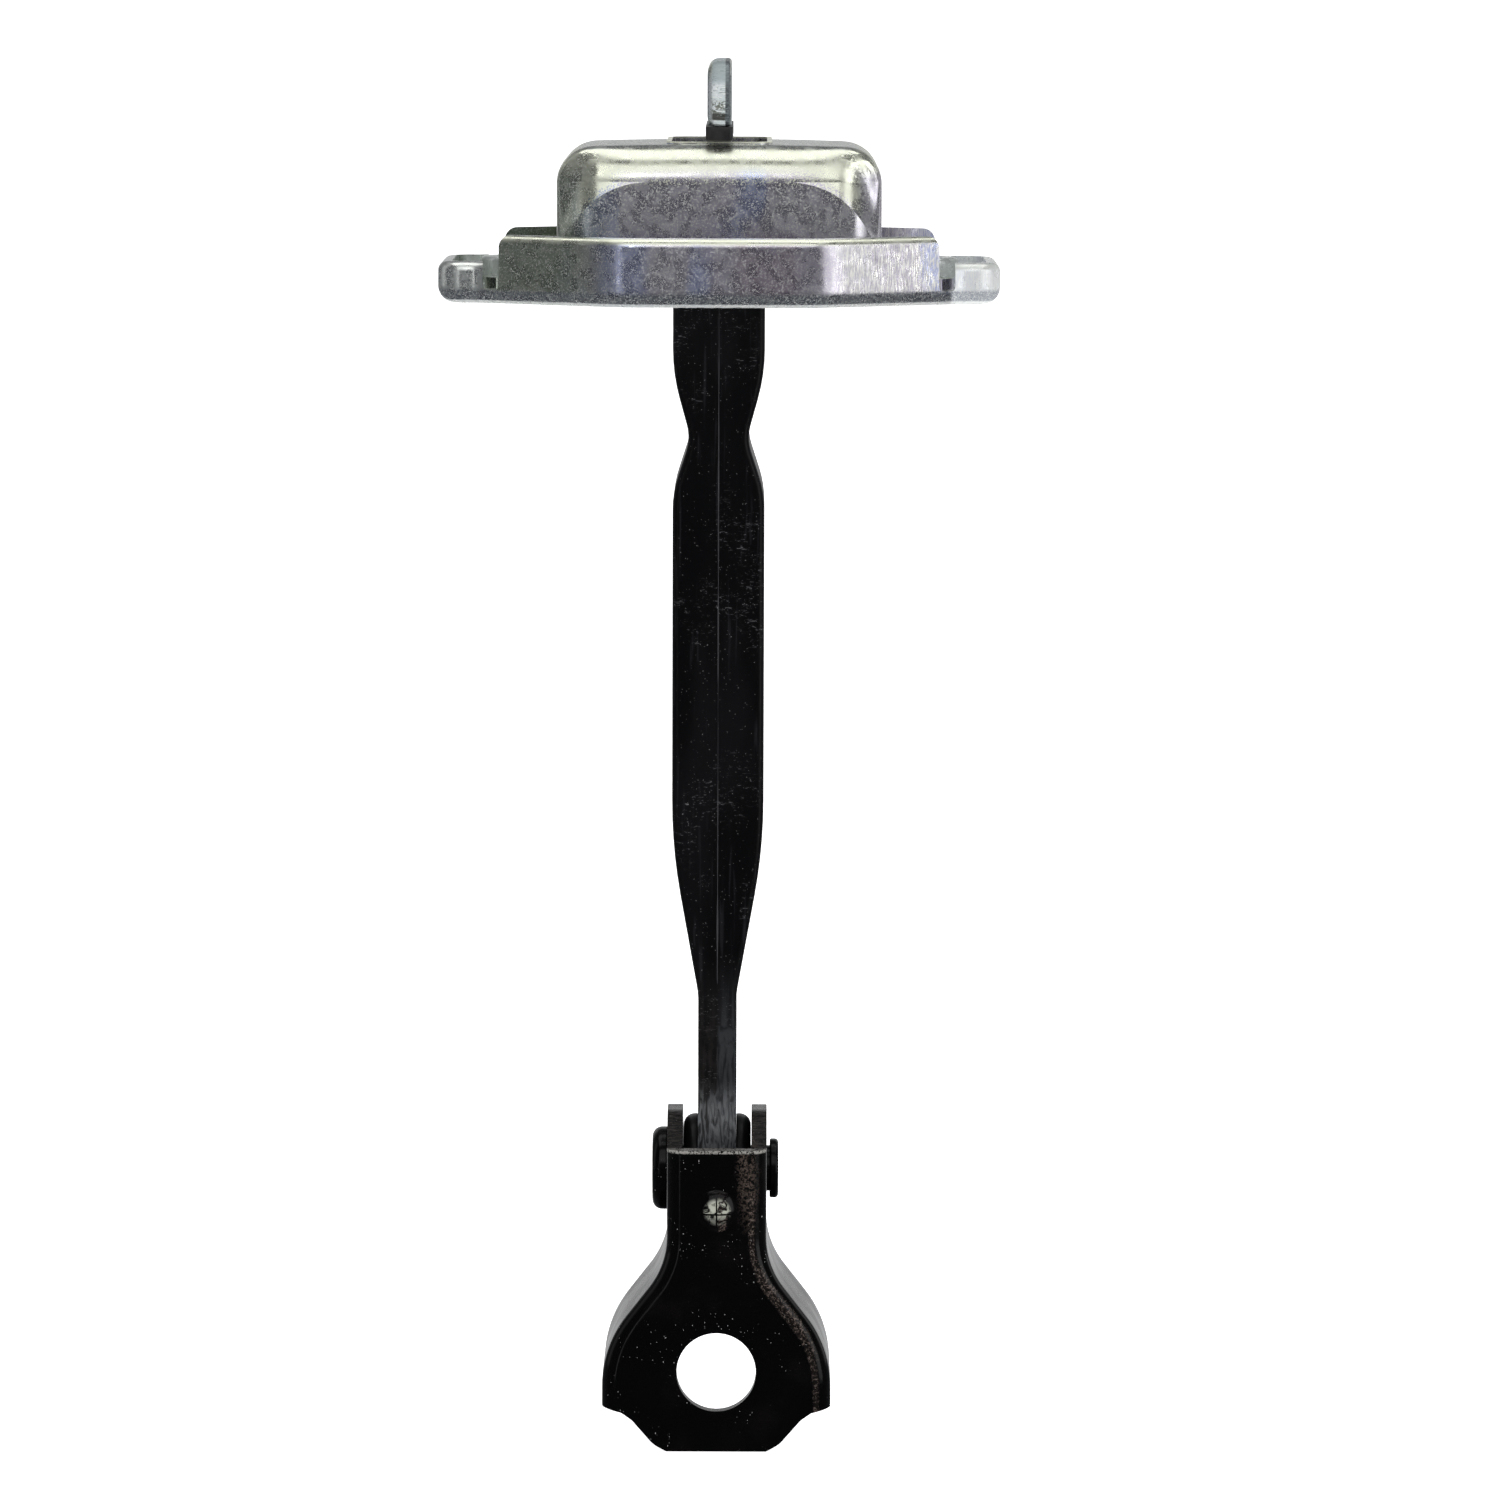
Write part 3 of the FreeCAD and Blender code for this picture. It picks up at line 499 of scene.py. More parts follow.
@dataclass(frozen=True)
class ElectroCoat:
    """Black electro-coat on the pressed bracket: gloss, orange peel, bends whose wear also carries
    a painted highlight, nicks, and a painted reflection on the pip.
    """

    name: str
    tone: Colour = (0.0006, 0.0006, 0.0007)
    roughness: float = 0.13
    wear_and_painted_light: bool = True
    pip_across: float = 0.10 * MM
    pip_height: float = -117.9 * MM
    top_edge: float = -110.15 * MM

    def make(self) -> bpy.types.Material:
        """Build the finish.

        Returns:
            The material.
        """
        mix = Recipe(self.name)
        across, depth, height = mix.axes(mix.place)
        side, front, up = mix.axes(mix.facing)
        cloud = mix.noise(6 * MM, 3.0, seed=2.0)
        skin = mix.mix(mix.span(cloud, 0.5, 0.7, 0.0, 0.7), self.tone, (0.0028, 0.0020, 0.0018))
        nick = mix.span(mix.noise(0.20 * MM, 0.0, seed=9.0), 0.81, 0.84, 0.0, 0.8)
        zone = mix.span(mix.noise(5 * MM, 1.0, seed=29.0), 0.54, 0.64)
        skin = mix.mix(mix.both(nick, zone), skin, (0.42, 0.42, 0.42))
        peel = mix.noise(0.55 * MM, 3.0, seed=5.0)
        normal = mix.relief(mix.noise(1.8 * MM, 2.0, seed=8.0), 0.02 * MM)
        wear = mix.noise(0.30 * MM, 4.0, seed=14.0, warp=0.8)
        rough = mix.span(cloud, 0.3, 0.7, self.roughness - 0.03, self.roughness + 0.08)
        if self.wear_and_painted_light:
            drift = mix.math("ADD", across, mix.math("MULTIPLY", cloud, -1.6 * MM))
            patch = mix.both(mix.band(drift, 3.2 * MM, 0.1 * MM, 1.6 * MM),
                             mix.span(height, -122 * MM, -114.5 * MM))
            patch = mix.both(patch, mix.span(front, -0.3, -0.7))
            grit = mix.both(patch, mix.span(wear, 0.44, 0.60))
            skin = mix.mix(mix.math("MULTIPLY", grit, 0.8), skin, (0.090, 0.066, 0.054))
            normal = mix.relief(mix.both(patch, wear), 0.10 * MM, normal)
            # Wear on the bends and along a thin line near the web's top, painted pinkish grey;
            # these lines also stand in for the highlights on the bends.
            bend = mix.both(mix.span(side, 0.14, 0.36), mix.span(side, 0.62, 0.44))
            bend = mix.both(bend, mix.span(front, -0.2, -0.5))
            thread = mix.both(mix.span(side, 0.04, 0.12), mix.span(side, 0.42, 0.26))
            thread = mix.both(thread, mix.span(height, -115 * MM, -117 * MM, 0.0, 0.7))
            low = mix.both(mix.span(height, -123 * MM, -127 * MM),
                           mix.span(height, -139 * MM, -135 * MM))
            wide = mix.either(mix.both(bend, low), mix.both(thread, mix.span(front, -0.2, -0.5)))
            rub_and_highlight = mix.both(wide, mix.span(wear, 0.50, 0.66, 0.04, 0.70))
            skin = mix.mix(rub_and_highlight, skin, (0.20, 0.155, 0.135))
            cut = mix.either(mix.span(up, 0.5, 0.85), mix.span(up, -0.6, -0.9))
            lines = mix.noise(0.14 * MM, 2.0, stretch=(9.0, 1.0, 1.0), seed=33.0)
            skin = mix.mix(mix.both(cut, mix.span(lines, 0.45, 0.62, 0.05, 0.45)), skin,
                           (0.085, 0.075, 0.068))
            normal = mix.relief(mix.both(cut, lines), 0.06 * MM, normal)
            # Painted reflection: a window-like glint, split by crossbars, on the pip's crown,
            # brighter towards its top.
            aside = mix.math("POWER", mix.math("SUBTRACT", across, self.pip_across), 2.0)
            aloft = mix.math("POWER", mix.math("SUBTRACT", height, self.pip_height), 2.0)
            spread = mix.math("SQRT", mix.math("ADD", aside, aloft))
            crown = mix.both(mix.span(spread, 1.95 * MM, 1.3 * MM),
                             mix.span(depth, -13.25 * MM, -13.45 * MM))
            reflected_window_panes = mix.both(mix.span(mix.band(across, 0.0 * MM, 0.05 * MM, 0.12 * MM), 1.0, 0.2),
                             mix.span(mix.band(height, -118.2 * MM, 0.08 * MM, 0.1 * MM),
                                      1.0, 0.2))
            broken = mix.span(mix.noise(0.8 * MM, 4.0, seed=61.0, warp=0.8), 0.40, 0.56)
            upper = mix.span(height, -119.2 * MM, -117.4 * MM, 0.25, 1.0)
            painted_pip_reflection = mix.both(mix.both(crown, reflected_window_panes), mix.both(broken, upper))
            skin = mix.mix(painted_pip_reflection, skin, (0.46, 0.47, 0.40))
            lip = mix.both(mix.band(height, self.top_edge, 0.12 * MM, 0.22 * MM),
                           mix.span(depth, -10.6 * MM, -11.4 * MM))
            skin = mix.mix(mix.both(lip, mix.span(wear, 0.40, 0.52)), skin, (0.30, 0.29, 0.27))
            rough = mix.math("ADD", rough, mix.math("MULTIPLY", mix.either(patch, rub_and_highlight), 0.18))
        normal = mix.relief(peel, 0.006 * MM, normal)
        mix.set(Base_Color=skin, Roughness=rough, Normal=normal, Specular_IOR_Level=0.16,
                Coat_Weight=0.10, Coat_Roughness=0.08)
        return mix.material


@dataclass(frozen=True)
class MouldedRubber:
    """Black rubber: a dull bloom, mould lines and fine pores."""

    name: str
    tone: Colour = (0.008, 0.008, 0.009)
    roughness: float = 0.5

    def make(self) -> bpy.types.Material:
        """Build the finish.

        Returns:
            The material.
        """
        mix = Recipe(self.name)
        cloud = mix.noise(2.2 * MM, 4.0, seed=2.0)
        skin = mix.mix(mix.span(cloud, 0.4, 0.7), self.tone, (0.030, 0.029, 0.028))
        pores = mix.noise(0.18 * MM, 2.0, seed=5.0)
        skin = mix.mix(mix.span(pores, 0.64, 0.74, 0.0, 0.5), skin, (0.07, 0.07, 0.07))
        normal = mix.relief(pores, 0.02 * MM)
        mix.set(Base_Color=skin, Normal=normal,
                Roughness=mix.span(cloud, 0.3, 0.7, self.roughness - 0.1, self.roughness + 0.1))
        return mix.material


@dataclass(frozen=True)
class TurnedSteel:
    """Machined or ground steel: fine rings round an axis, with an oily cast."""

    name: str
    tone: Colour = (0.60, 0.61, 0.60)
    cast: Colour = (0.48, 0.47, 0.44)
    roughness: float = 0.24
    stretch: Colour = (1.0, 30.0, 30.0)
    metallic: float = 1.0

    def make(self) -> bpy.types.Material:
        """Build the finish.

        Returns:
            The material.
        """
        mix = Recipe(self.name)
        cloud = mix.noise(1.8 * MM, 3.0, seed=2.0)
        film = mix.mix(mix.span(cloud, 0.35, 0.65), self.tone, self.cast)
        rings = mix.noise(0.10 * MM, 2.0, stretch=self.stretch, seed=4.0)
        film = mix.mix(mix.span(rings, 0.58, 0.70, 0.0, 0.5), film, (0.88, 0.89, 0.86))
        normal = mix.relief(rings, 0.008 * MM)
        mix.set(Base_Color=film, Metallic=self.metallic, Normal=normal,
                Roughness=mix.span(cloud, 0.3, 0.7, self.roughness - 0.06, self.roughness + 0.1))
        return mix.material


@dataclass(frozen=True)
class GreasedAcetal:
    """Natural acetal with a film of grease that gathers in patches."""

    name: str
    tone: Colour = (0.74, 0.72, 0.64)
    grease: Colour = (0.42, 0.36, 0.24)

    def make(self) -> bpy.types.Material:
        """Build the finish.

        Returns:
            The material.
        """
        mix = Recipe(self.name)
        cloud = mix.noise(2.6 * MM, 3.0, seed=2.0)
        patches = mix.span(cloud, 0.50, 0.66, 0.0, 0.8)
        skin = mix.mix(patches, self.tone, self.grease)
        flecks = mix.noise(0.4 * MM, 3.0, seed=6.0)
        skin = mix.mix(mix.span(flecks, 0.62, 0.72, 0.0, 0.3), skin, (0.25, 0.22, 0.17))
        normal = mix.relief(flecks, 0.03 * MM)
        mix.set(Base_Color=skin, Roughness=mix.span(patches, 0.0, 0.8, 0.45, 0.20), Normal=normal)
        return mix.material


@dataclass(frozen=True)
class StudioCard:
    """Pale matt paper for the floor and the wall, with a very faint tooth."""

    name: str
    tone: Colour = (0.93, 0.93, 0.93)
    glow: float = 0.0

    def make(self) -> bpy.types.Material:
        """Build the finish.

        Returns:
            The material.
        """
        mix = Recipe(self.name)
        cloud = mix.noise(80 * MM, 2.0, seed=2.0)
        card = mix.mix(mix.span(cloud, 0.3, 0.7), self.tone,
                       tuple(0.985 * part for part in self.tone))
        mix.set(Base_Color=card, Roughness=0.95, Emission_Color=(1.0, 1.0, 1.0),
                Emission_Strength=self.glow)
        return mix.material


# ---- surfaces ----

def closed_grid(name: str, points: Array) -> bpy.types.Object:
    """Make an object from a grid of points that closes on itself both ways.

    Args:
        name: name of the object.
        points: array of shape (rows, columns, 3); the last row joins the first and the last
            column joins the first.

    Returns:
        The object, its faces turned outwards.
    """
    rows, columns = points.shape[:2]
    index = np.arange(rows * columns).reshape(rows, columns)
    right, down = np.roll(index, -1, axis=1), np.roll(index, -1, axis=0)
    corner = np.roll(right, -1, axis=0)
    quads = np.stack([index, right, corner, down], axis=-1).reshape(-1, 4)
    return solid(name, points.reshape(-1, 3), quads)


def solid(name: str, vertices: Array, quads: Array) -> bpy.types.Object:
    """Put a closed quad surface into a new object, with smooth shading and sharp creases.

    The faces are flipped if the volume that they enclose, the sum of the tetrahedra from the
    origin to each face's two triangles, comes out negative.

    Args:
        name: name of the object.
        vertices: array of points.
        quads: array of vertex numbers, four a face.

    Returns:
        The object.
    """
    a, b, c, d = (vertices[quads[:, k]] for k in range(4))
    volume = np.einsum("ij,ij->", a, np.cross(b, c)) + np.einsum("ij,ij->", a, np.cross(c, d))
    if volume < 0:
        quads = quads[:, ::-1]
    mesh = bpy.data.meshes.new(name)
    mesh.from_pydata(vertices.tolist(), [], quads.tolist())
    mesh.update()
    mesh.shade_smooth()
    mesh.set_sharp_from_angle(angle=math.radians(38))
    piece = bpy.data.objects.new(name, mesh)
    bpy.context.scene.collection.objects.link(piece)
    return piece


def rounded_profile(corners: list[tuple[float, float, float]], steps: int = 5) -> Array:
    """A closed outline whose corners are rounded by their own radii.

    Each corner becomes an arc: the tangent points lie at radius / tan(half the corner's angle)
    along its two sides, and the arc is the circle through them about the point on the corner's
    bisector.

    Args:
        corners: along, out and radius of each corner, in order.
        steps: points on each arc.

    Returns:
        Array of shape (points, 2).
    """
    table = np.array(corners, float)
    here = table[:, :2]
    back = np.roll(here, 1, axis=0) - here
    ahead = np.roll(here, -1, axis=0) - here
    back /= np.linalg.norm(back, axis=1, keepdims=True)
    ahead /= np.linalg.norm(ahead, axis=1, keepdims=True)
    half = np.arccos(np.clip(np.sum(back * ahead, axis=1), -1, 1)) / 2
    radius = np.maximum(table[:, 2], 1e-7)
    start = here + back * (radius / np.tan(half))[:, None]
    bisector = back + ahead
    bisector /= np.linalg.norm(bisector, axis=1, keepdims=True)
    centre = here + bisector * (radius / np.sin(half))[:, None]
    spoke = start - centre
    turn = math.pi - 2 * half
    way = np.sign(back[:, 0] * ahead[:, 1] - back[:, 1] * ahead[:, 0])
    angle = -way[:, None] * turn[:, None] * np.linspace(0, 1, steps)[None, :]
    cosine, sine = np.cos(angle), np.sin(angle)
    along = centre[:, :1] + spoke[:, :1] * cosine - spoke[:, 1:] * sine
    out = centre[:, 1:] + spoke[:, :1] * sine + spoke[:, 1:] * cosine
    return np.stack([along, out], axis=-1).reshape(-1, 2)


def turned(name: str, profile: Array, centre: Vector, axis: str, columns: int = 96,
           swell: Array | None = None) -> bpy.types.Object:
    """Revolve a closed outline that stays off its axis.

    A point (along, out) at the angle t lies at centre + along on the axis, and out * cos t and
    out * sin t on the two others.

    Args:
        name: name of the object.
        profile: array of shape (rows, 2): along the axis, and out from it.
        centre: where along is 0.
        axis: "x" or "z".
        columns: points round the axis.
        swell: array of shape (rows, columns) added to out, for threads and knurls.

    Returns:
        The object.
    """
    angle = np.linspace(0, 2 * math.pi, columns, endpoint=False)
    out = np.repeat(profile[:, 1:], columns, axis=1)
    if swell is not None:
        out = out + swell
    along = np.repeat(profile[:, :1], columns, axis=1)
    first, second = out * np.cos(angle), out * np.sin(angle)
    order = (along, first, second) if axis == "x" else (first, second, along)
    points = np.stack(order, axis=-1) + np.array(centre)
    return closed_grid(name, points)


def dress(piece: bpy.types.Object, finish: bpy.types.Material, body: str) -> None:
    """Give a new piece its finish and the body it moves with, and log its face count.

    Args:
        piece: the piece.
        finish: its material.
        body: the CAD body, or an empty name for a piece that is left without one.
    """
    piece.data.materials.append(finish)
    if body:
        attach(piece, body)
    LOG.info("%s: %d faces", piece.name, len(piece.data.polygons))


def repaint(node: str, finish: bpy.types.Material) -> None:
    """Put a finish into every material slot of a CAD node.

    Args:
        node: name of the node.
        finish: the material.
    """
    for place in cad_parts[node].material_slots:
        place.material = finish
    LOG.info("%s: finished with %s", node, finish.name)


# ---- the object's sub-assemblies ----

@dataclass
class Housing:
    """The pressed housing: mounting plate, drawn case and two round clinch nuts."""

    nut_pitch: float = 52.0 * MM
    bore: float = 2.5 * MM
    pilot: float = 3.9 * MM
    nut_body: float = 5.0 * MM
    seat: float = 3.2 * MM
    crown: float = 5.7 * MM
    thread_pitch: float = 1.0 * MM
    thread_depth: float = 0.24 * MM
    countersink: float = 0.45 * MM
    thread_rows: int = 72
    knurls: int = 30
    knurl_depth: float = 0.14 * MM

    def build(self) -> None:
        """Dress the plate and the case, and make both nuts."""
        plate = ZincPlating("plate zinc", banded=True, scratches_and_painted_reflection=True)
        repaint("mounting_plate", plate.make())
        case = ZincPlating("case zinc", roughness=0.25, speckle=0.8, arch_and_painted_highlight=True)
        repaint("housing_case", case.make())
        machined = TurnedSteel("nut zinc", (0.82, 0.86, 0.84), (0.66, 0.71, 0.67), 0.26,
                               (30.0, 30.0, 1.0), 0.55).make()
        for side in Side:
            self.nut(side, machined)

    def nut(self, side: Side, finish: bpy.types.Material) -> None:
        """Make one nut: a threaded bore, a countersink, and a knurled root on a smooth body.

        The outline is revolved about Z. Along the bore the radius dips by the thread depth times
        a triangle wave of height / pitch - angle / turn, so the groove is a helix; round the
        root of the body it dips by the knurl depth times one less a rectified cosine.

        Args:
            side: which nut.
            finish: its material.
        """
        mouth = self.bore + self.countersink
        down = np.linspace(self.crown - 0.5 * MM, 0.5 * MM, self.thread_rows)
        bore = np.stack([down, np.full(self.thread_rows, self.bore)], axis=1)
        outside = rounded_profile([
            (0.0, mouth, 0.05 * MM), (0.0, self.pilot, 0.25 * MM),
            (self.seat, self.pilot, 0.02 * MM), (self.seat, self.nut_body, 0.05 * MM),
            (self.crown, self.nut_body, 0.5 * MM), (self.crown, mouth, 0.08 * MM),
        ])
        profile = np.concatenate([outside, bore])
        columns = 120
        angle = np.linspace(0, 2 * math.pi, columns, endpoint=False)[None, :]
        height = profile[:, :1]
        wave = height / self.thread_pitch - angle / (2 * math.pi)
        groove = np.abs(2 * (wave - np.floor(wave)) - 1)
        in_bore = (profile[:, 1:] < self.bore + 0.01 * MM).astype(float)
        root = (profile[:, 1:] > self.pilot + 0.3 * MM) & (height < self.seat + 1.0 * MM)
        knurl = np.abs(np.cos(self.knurls * angle / 2))
        swell = (in_bore * self.thread_depth * (1 - groove) * -1
                 + in_bore * self.thread_depth * 0.9 + root * self.knurl_depth * (knurl - 1))
        centre = Vector((side.value * self.nut_pitch / 2, 0, 0))
        piece = turned(f"threaded_nut_{side.word}", profile, centre, "z", columns, swell)
        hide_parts(f"clinch_nut_{side.word}")
        dress(piece, finish, "housing")


@dataclass
class ShoePack:
    """Inside the case: rubber springs, pressure plates, shoe holders and rollers."""

    height: float = 10.6 * MM
    front: float = 13.27 * MM
    back: float = 19.28 * MM
    radius: float = 7.15 * MM
    bore: float = 2.02 * MM
    waist: float = 0.45 * MM
    ribs: int = 3
    rib_rise: float = 0.16 * MM
    front_round: float = 0.8 * MM
    heel_round: float = 2.4 * MM
    steel: Colour = field(default=(0.46, 0.45, 0.43))

    def build(self) -> None:
        """Dress the hard parts and make both springs."""
        rubber = MouldedRubber("spring rubber").make()
        acetal = GreasedAcetal("shoe acetal").make()
        ground = TurnedSteel("roller steel", roughness=0.16, stretch=(30.0, 1.0, 30.0)).make()
        oiled = TurnedSteel("disc steel", self.steel, (0.34, 0.31, 0.27), 0.34).make()
        for side in Side:
            self.spring(side, rubber)
            repaint(f"pressure_plate_{side.word}", oiled)
            repaint(f"shoe_{side.word}", acetal)
            repaint(f"shoe_roller_{side.word}", ground)

    def spring(self, side: Side, finish: bpy.types.Material) -> None:
        """Make one spring, which sits between the case and its shoe.

        The outline is revolved about X. Its radius falls by the waist times the sine of half a
        turn from end to end, and rises by each rib's share of a squared cosine.

        Args:
            side: which spring.
            finish: its material.
        """
        share = np.linspace(0, 1, 49)[1:-1]
        low, high = self.front + self.front_round, self.back - self.heel_round
        along = low + (high - low) * share
        rib = np.cos(math.pi * self.ribs * share) ** 2 * np.sin(math.pi * share) ** 2
        out = self.radius - self.waist * np.sin(math.pi * share) + self.rib_rise * rib
        wall = np.stack([along, out], axis=1)
        ends = rounded_profile([
            (self.back, self.radius, self.heel_round), (self.back, self.bore, 0.3 * MM),
            (self.front, self.bore, 0.3 * MM), (self.front, self.radius, self.front_round),
        ], 7)
        profile = np.concatenate([wall, ends])
        profile[:, 0] *= side.value
        name = f"rubber_block_{side.word}"
        piece = turned(name, profile, Vector((0, 0, self.height)), "x", 72)
        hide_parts(f"rubber_spring_{side.word}")
        dress(piece, finish, "")
        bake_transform(piece)


@dataclass
class CheckArm:
    """The sliding arm: steel core, resin cover, stop buffer, bushes and moulding flash."""

    half_depth: float = 9.0 * MM
    foot_half_depth: float = 6.9 * MM
    narrow_from: float = -88.3 * MM
    narrow_to: float = -101.3 * MM
    top: float = 19.9 * MM
    foot: float = -106.0 * MM
    flash_half: float = 0.17 * MM
    flash_rise: float = 0.09 * MM
    flash_sunk: float = 0.12 * MM

    def build(self) -> None:
        """Dress the CAD parts and add the flash line along the arm's front and back."""
        repaint("core_plate", ShearedZinc("core zinc").make())
        repaint("arm_cover", MouldedResin("arm resin").make())
        repaint("stop_buffer", MouldedRubber("buffer rubber", roughness=0.36).make())
        bush = MouldedResin("bush acetal", (0.010, 0.010, 0.011), -1.0).make()
        for side in Side:
            repaint(f"bush_{side.word}", bush)
        self.flash(-1, "front")
        self.flash(1, "back")

    def flash(self, way: int, word: str) -> None:
        """Make the low ridge that the mould's halves leave along one edge of the arm.

        The section is a low triangle with its base sunk in the resin, carried along Z at the
        arm's own half depth, which narrows in a straight line towards the foot. Its half width
        and its rise waver by two slow sines, and both ends run out to nothing.

        Args:
            way: sign of Y.
            word: which edge, for the name.
        """
        share = np.linspace(0, 1, 260)[:, None]
        height = self.foot + (self.top - self.foot) * share
        taper = np.clip(np.minimum(share, 1 - share) * 60, 0.02, 1)
        waver = 1 + 0.22 * np.sin(41 * share) + 0.15 * np.sin(97 * share + 1)
        half = self.flash_half * taper * waver
        rise = self.flash_rise * taper * (1 + 0.3 * np.sin(63 * share + 2))
        across = np.concatenate([-half, 0 * half, half, 0 * half], axis=1)
        face = np.interp(height, [self.narrow_to, self.narrow_from],
                         [self.foot_half_depth, self.half_depth])
        sunk = face - self.flash_sunk
        depth = np.concatenate([sunk, face + rise, sunk, sunk - 0.05 * MM], axis=1)
        level = np.repeat(height, 4, axis=1)
        rings = np.stack([across, way * depth, level], axis=-1)
        piece = self.capped(f"mould_flash_{word}", rings)
        finish = MouldedResin(f"flash resin {word}", (0.055, 0.055, 0.060)).make()
        dress(piece, finish, "arm")

    @staticmethod
    def capped(name: str, rings: Array) -> bpy.types.Object:
        """Close a tube of four-point rings with one face at each end.

        Args:
            name: name of the object.
            rings: array of shape (rings, 4, 3).

        Returns:
            The object.
        """
        count = rings.shape[0]
        index = np.arange(count * 4).reshape(count, 4)
        turn = np.roll(index, -1, axis=1)
        walls = np.stack([index[:-1], turn[:-1], turn[1:], index[1:]], axis=-1).reshape(-1, 4)
        caps = np.stack([index[0][::-1], index[-1]])
        return solid(name, rings.reshape(-1, 3), np.concatenate([walls, caps]))


class PillarBracket:
    """The coated bracket and the rivet that the arm turns on."""

    def build(self) -> None:
        """Dress the bracket and the rivet."""
        repaint("bracket", ElectroCoat("bracket coat").make())
        repaint("pivot_rivet", ElectroCoat("rivet coat", roughness=0.2, wear_and_painted_light=False).make())


@dataclass(frozen=True)
class Lamp:
    """One rectangular soft light: where it hangs, its size, its power in watts and its aim."""

    name: str
    place: tuple[float, float, float]
    size: tuple[float, float]
    power: float
    aim: tuple[float, float, float] = (0.0, 0.0, 0.0)


FOOT = (0.0, 0.0, -0.12)
LAMPS = (
    Lamp("overhead softbox", (0.0, 0.05, 0.60), (0.8, 0.50), 1.45),
    Lamp("front top softbox", (0.0, -0.60, 0.44), (0.9, 0.56), 1.5),
    Lamp("right softbox", (0.62, -0.36, 0.12), (0.30, 0.7), 1.0),
    Lamp("left strip", (-0.42, -0.60, 0.10), (0.05, 0.7), 0.16),
    Lamp("left fill", (-0.7, 0.15, 0.2), (0.3, 0.7), 0.22),
    Lamp("right back fill", (0.6, 0.45, 0.15), (0.3, 0.6), 0.30),
    Lamp("small window", (-0.09, -0.70, 0.30), (0.09, 0.09), 0.10, FOOT),
    Lamp("low back card", (0.0, 0.5, -0.08), (0.56, 0.50), 0.42, FOOT),
)


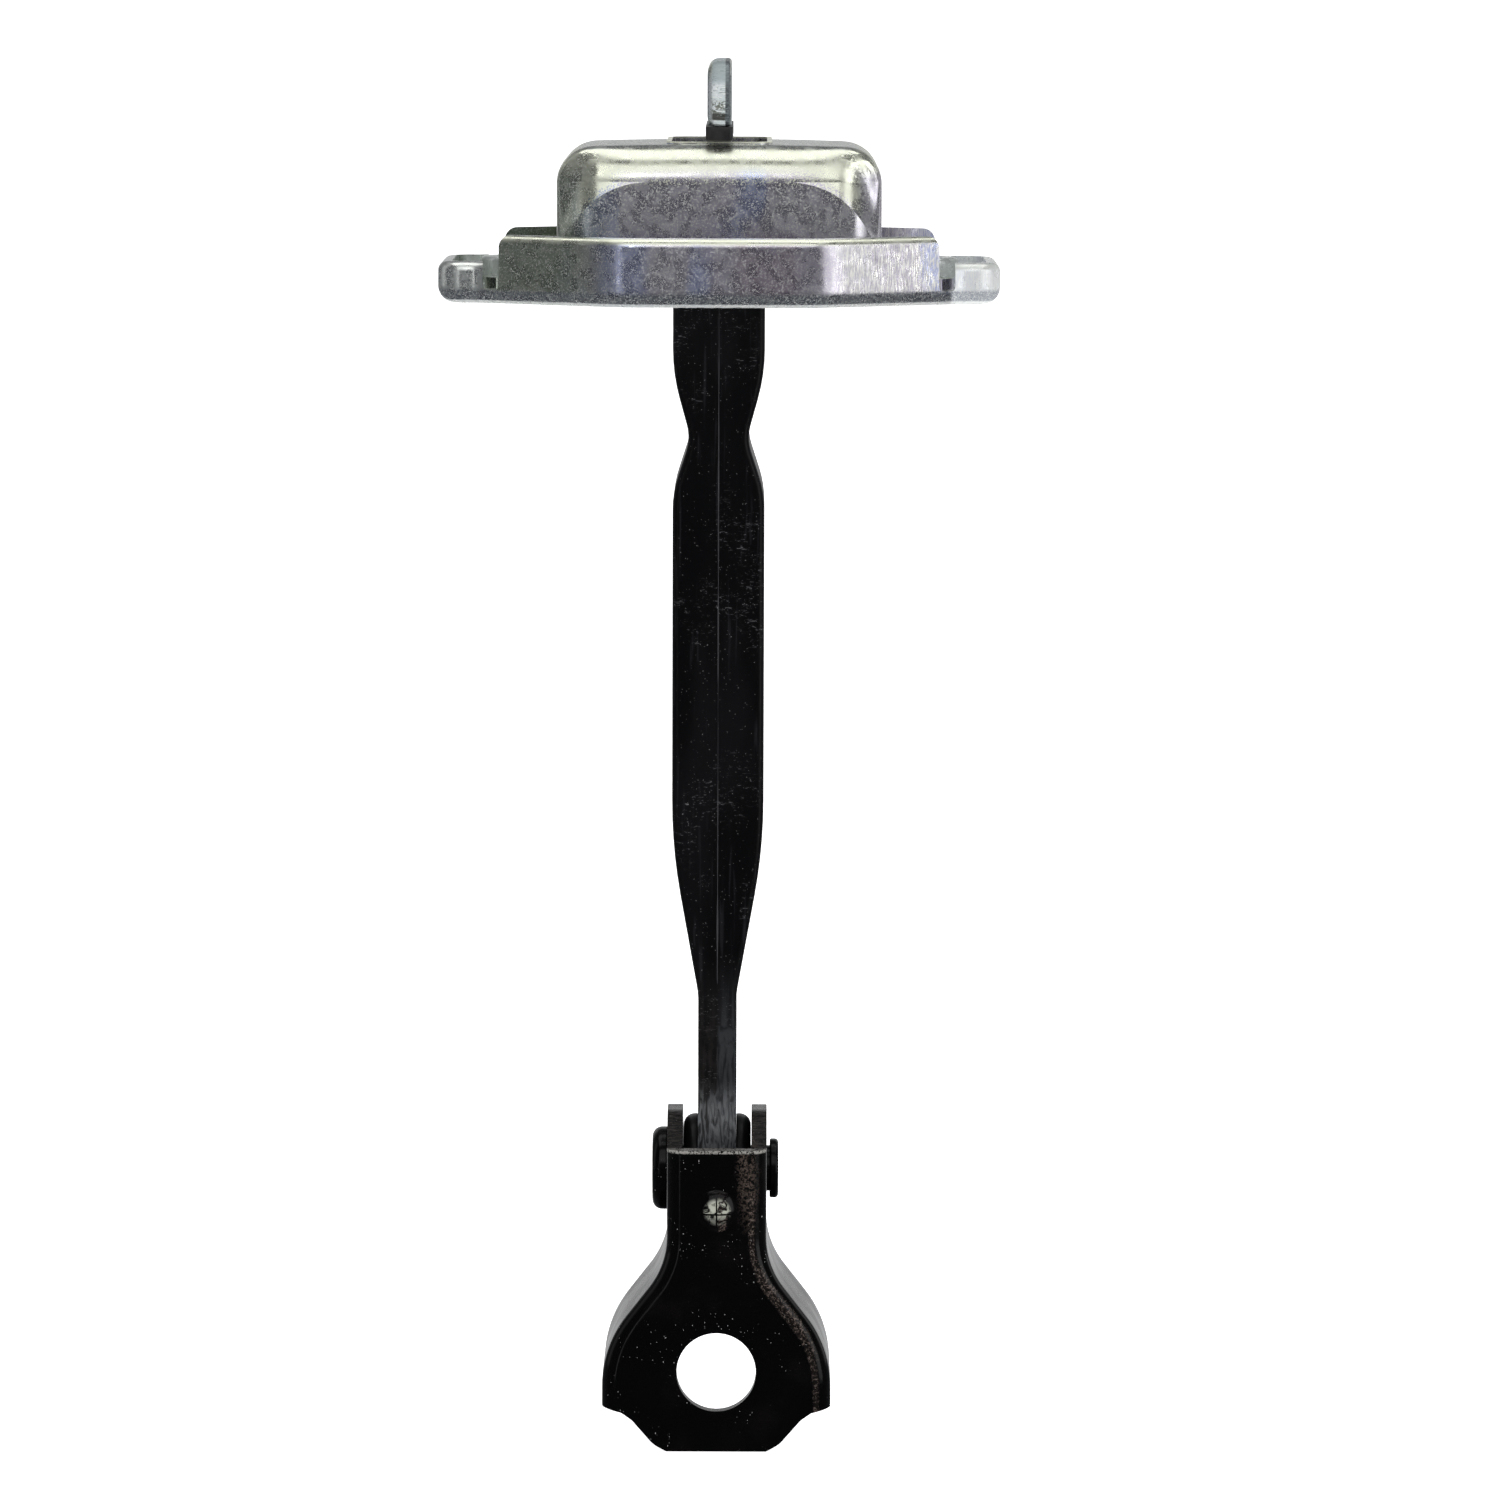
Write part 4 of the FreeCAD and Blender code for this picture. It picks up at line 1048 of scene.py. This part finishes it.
@dataclass
class Studio:
    """Pale floor and wall, soft lights and the camera.

    The floor's curve up to the wall starts sweep_back behind the object.
    """

    sweep_reach: float = 1.6
    sweep_back: float = 0.75
    sweep_radius: float = 0.35
    wall_radius: float = 2.2
    room_light: float = 0.105
    camera_place: tuple[float, float, float] = (4.95 * MM, -1.0, 50 * MM)
    aim: tuple[float, float, float] = (4.95 * MM, 0.0, -59.7 * MM)
    lens: float = 182.8
    roll: float = math.radians(0.18)

    def build(self) -> None:
        """Make the floor, the wall, the lights, the surroundings and the camera."""
        self.sweep()
        self.surround()
        self.surroundings()
        for lamp in LAMPS:
            self.hang(lamp)
        self.camera()

    def sweep(self) -> None:
        """Make the floor and the wall behind it as one curved sheet.

        The sheet is a profile carried along X: flat forwards from the object's lowest level, a
        quarter circle, and straight up.
        """
        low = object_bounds()[0].z
        radius, reach, back = self.sweep_radius, self.sweep_reach, self.sweep_back
        turn = np.linspace(0, math.pi / 2, 24)
        depth = np.concatenate([[-reach], back + radius * np.sin(turn), [back + radius]])
        level = np.concatenate([[0.0], radius * (1 - np.cos(turn)), [reach]]) + low
        across = np.linspace(-reach, reach, 9)
        grid = np.stack(np.broadcast_arrays(across[None, :], depth[:, None], level[:, None]),
                        axis=-1)
        rows, columns = grid.shape[:2]
        index = np.arange(rows * columns).reshape(rows, columns)
        quads = np.stack([index[:-1, :-1], index[:-1, 1:], index[1:, 1:], index[1:, :-1]],
                         axis=-1).reshape(-1, 4)
        mesh = bpy.data.meshes.new("paper sweep")
        mesh.from_pydata(grid.reshape(-1, 3).tolist(), [], quads.tolist())
        mesh.shade_smooth()
        paper = bpy.data.objects.new("paper_sweep", mesh)
        bpy.context.scene.collection.objects.link(paper)
        mesh.materials.append(StudioCard("paper", glow=0.95).make())
        paper.visible_glossy = False
        paper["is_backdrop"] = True

    def surround(self) -> None:
        """Stand a round pale wall behind the sheet, which only the camera sees.

        The wall is a circle about Z carried straight up.
        """
        columns, radius = 96, self.wall_radius
        turn = np.linspace(0, 2 * math.pi, columns, endpoint=False)
        level = np.array([-1.6, 2.4])[:, None]
        grid = np.stack(np.broadcast_arrays(radius * np.cos(turn), radius * np.sin(turn), level),
                        axis=-1)
        index = np.arange(2 * columns).reshape(2, columns)
        right = np.roll(index, -1, axis=1)
        quads = np.stack([index[0], index[1], right[1], right[0]], axis=-1)
        mesh = bpy.data.meshes.new("paper wall")
        mesh.from_pydata(grid.reshape(-1, 3).tolist(), [], quads.tolist())
        mesh.shade_smooth()
        wall = bpy.data.objects.new("paper_wall", mesh)
        bpy.context.scene.collection.objects.link(wall)
        mesh.materials.append(StudioCard("wall paper", glow=0.80).make())
        wall.visible_glossy = wall.visible_diffuse = wall.visible_shadow = False
        wall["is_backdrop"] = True

    def surroundings(self) -> None:
        """Set the dim room that the metal mirrors where no light does."""
        world = bpy.data.worlds.new("room")
        bpy.context.scene.world = world
        world.use_nodes = True
        shade = world.node_tree.nodes["Background"]
        shade.inputs["Color"].default_value = (0.80, 0.82, 0.88, 1.0)
        shade.inputs["Strength"].default_value = self.room_light
        bpy.context.scene.view_settings.view_transform = "Standard"

    @staticmethod
    def hang(lamp: Lamp) -> None:
        """Hang one soft light, turned to its aim and hidden from the camera.

        Args:
            lamp: the light.
        """
        light = bpy.data.lights.new(lamp.name, "AREA")
        light.shape = "RECTANGLE"
        light.size, light.size_y = lamp.size
        light.energy = lamp.power
        place = Vector(lamp.place)
        holder = bpy.data.objects.new(lamp.name, light)
        holder.visible_camera = False
        holder.location = place
        holder.rotation_euler = (Vector(lamp.aim) - place).to_track_quat("-Z", "Y").to_euler()
        bpy.context.scene.collection.objects.link(holder)

    def camera(self) -> None:
        """Stand a long-lens camera a little above the housing, rolled by a fraction of a degree."""
        lens = bpy.data.cameras.new("camera")
        lens.lens, lens.sensor_width = self.lens, 36.0
        lens.clip_start, lens.clip_end = 0.05, 20.0
        camera = bpy.data.objects.new("camera", lens)
        place, aim = Vector(self.camera_place), Vector(self.aim)
        camera.rotation_euler = (aim - place).to_track_quat("-Z", "Y").to_euler()
        camera.rotation_euler.rotate_axis("Z", self.roll)
        camera.location = place
        bpy.context.scene.collection.objects.link(camera)
        bpy.context.scene.camera = camera


def main() -> None:
    """Build the sub-assemblies in order, then the studio round them."""
    logging.basicConfig(level=logging.INFO, format="%(name)s: %(message)s")
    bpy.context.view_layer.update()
    for assembly in (Housing(), ShoePack(), CheckArm(), PillarBracket(), Studio()):
        LOG.info("building %s", type(assembly).__name__)
        assembly.build()


if __name__ == "__main__":
    main()
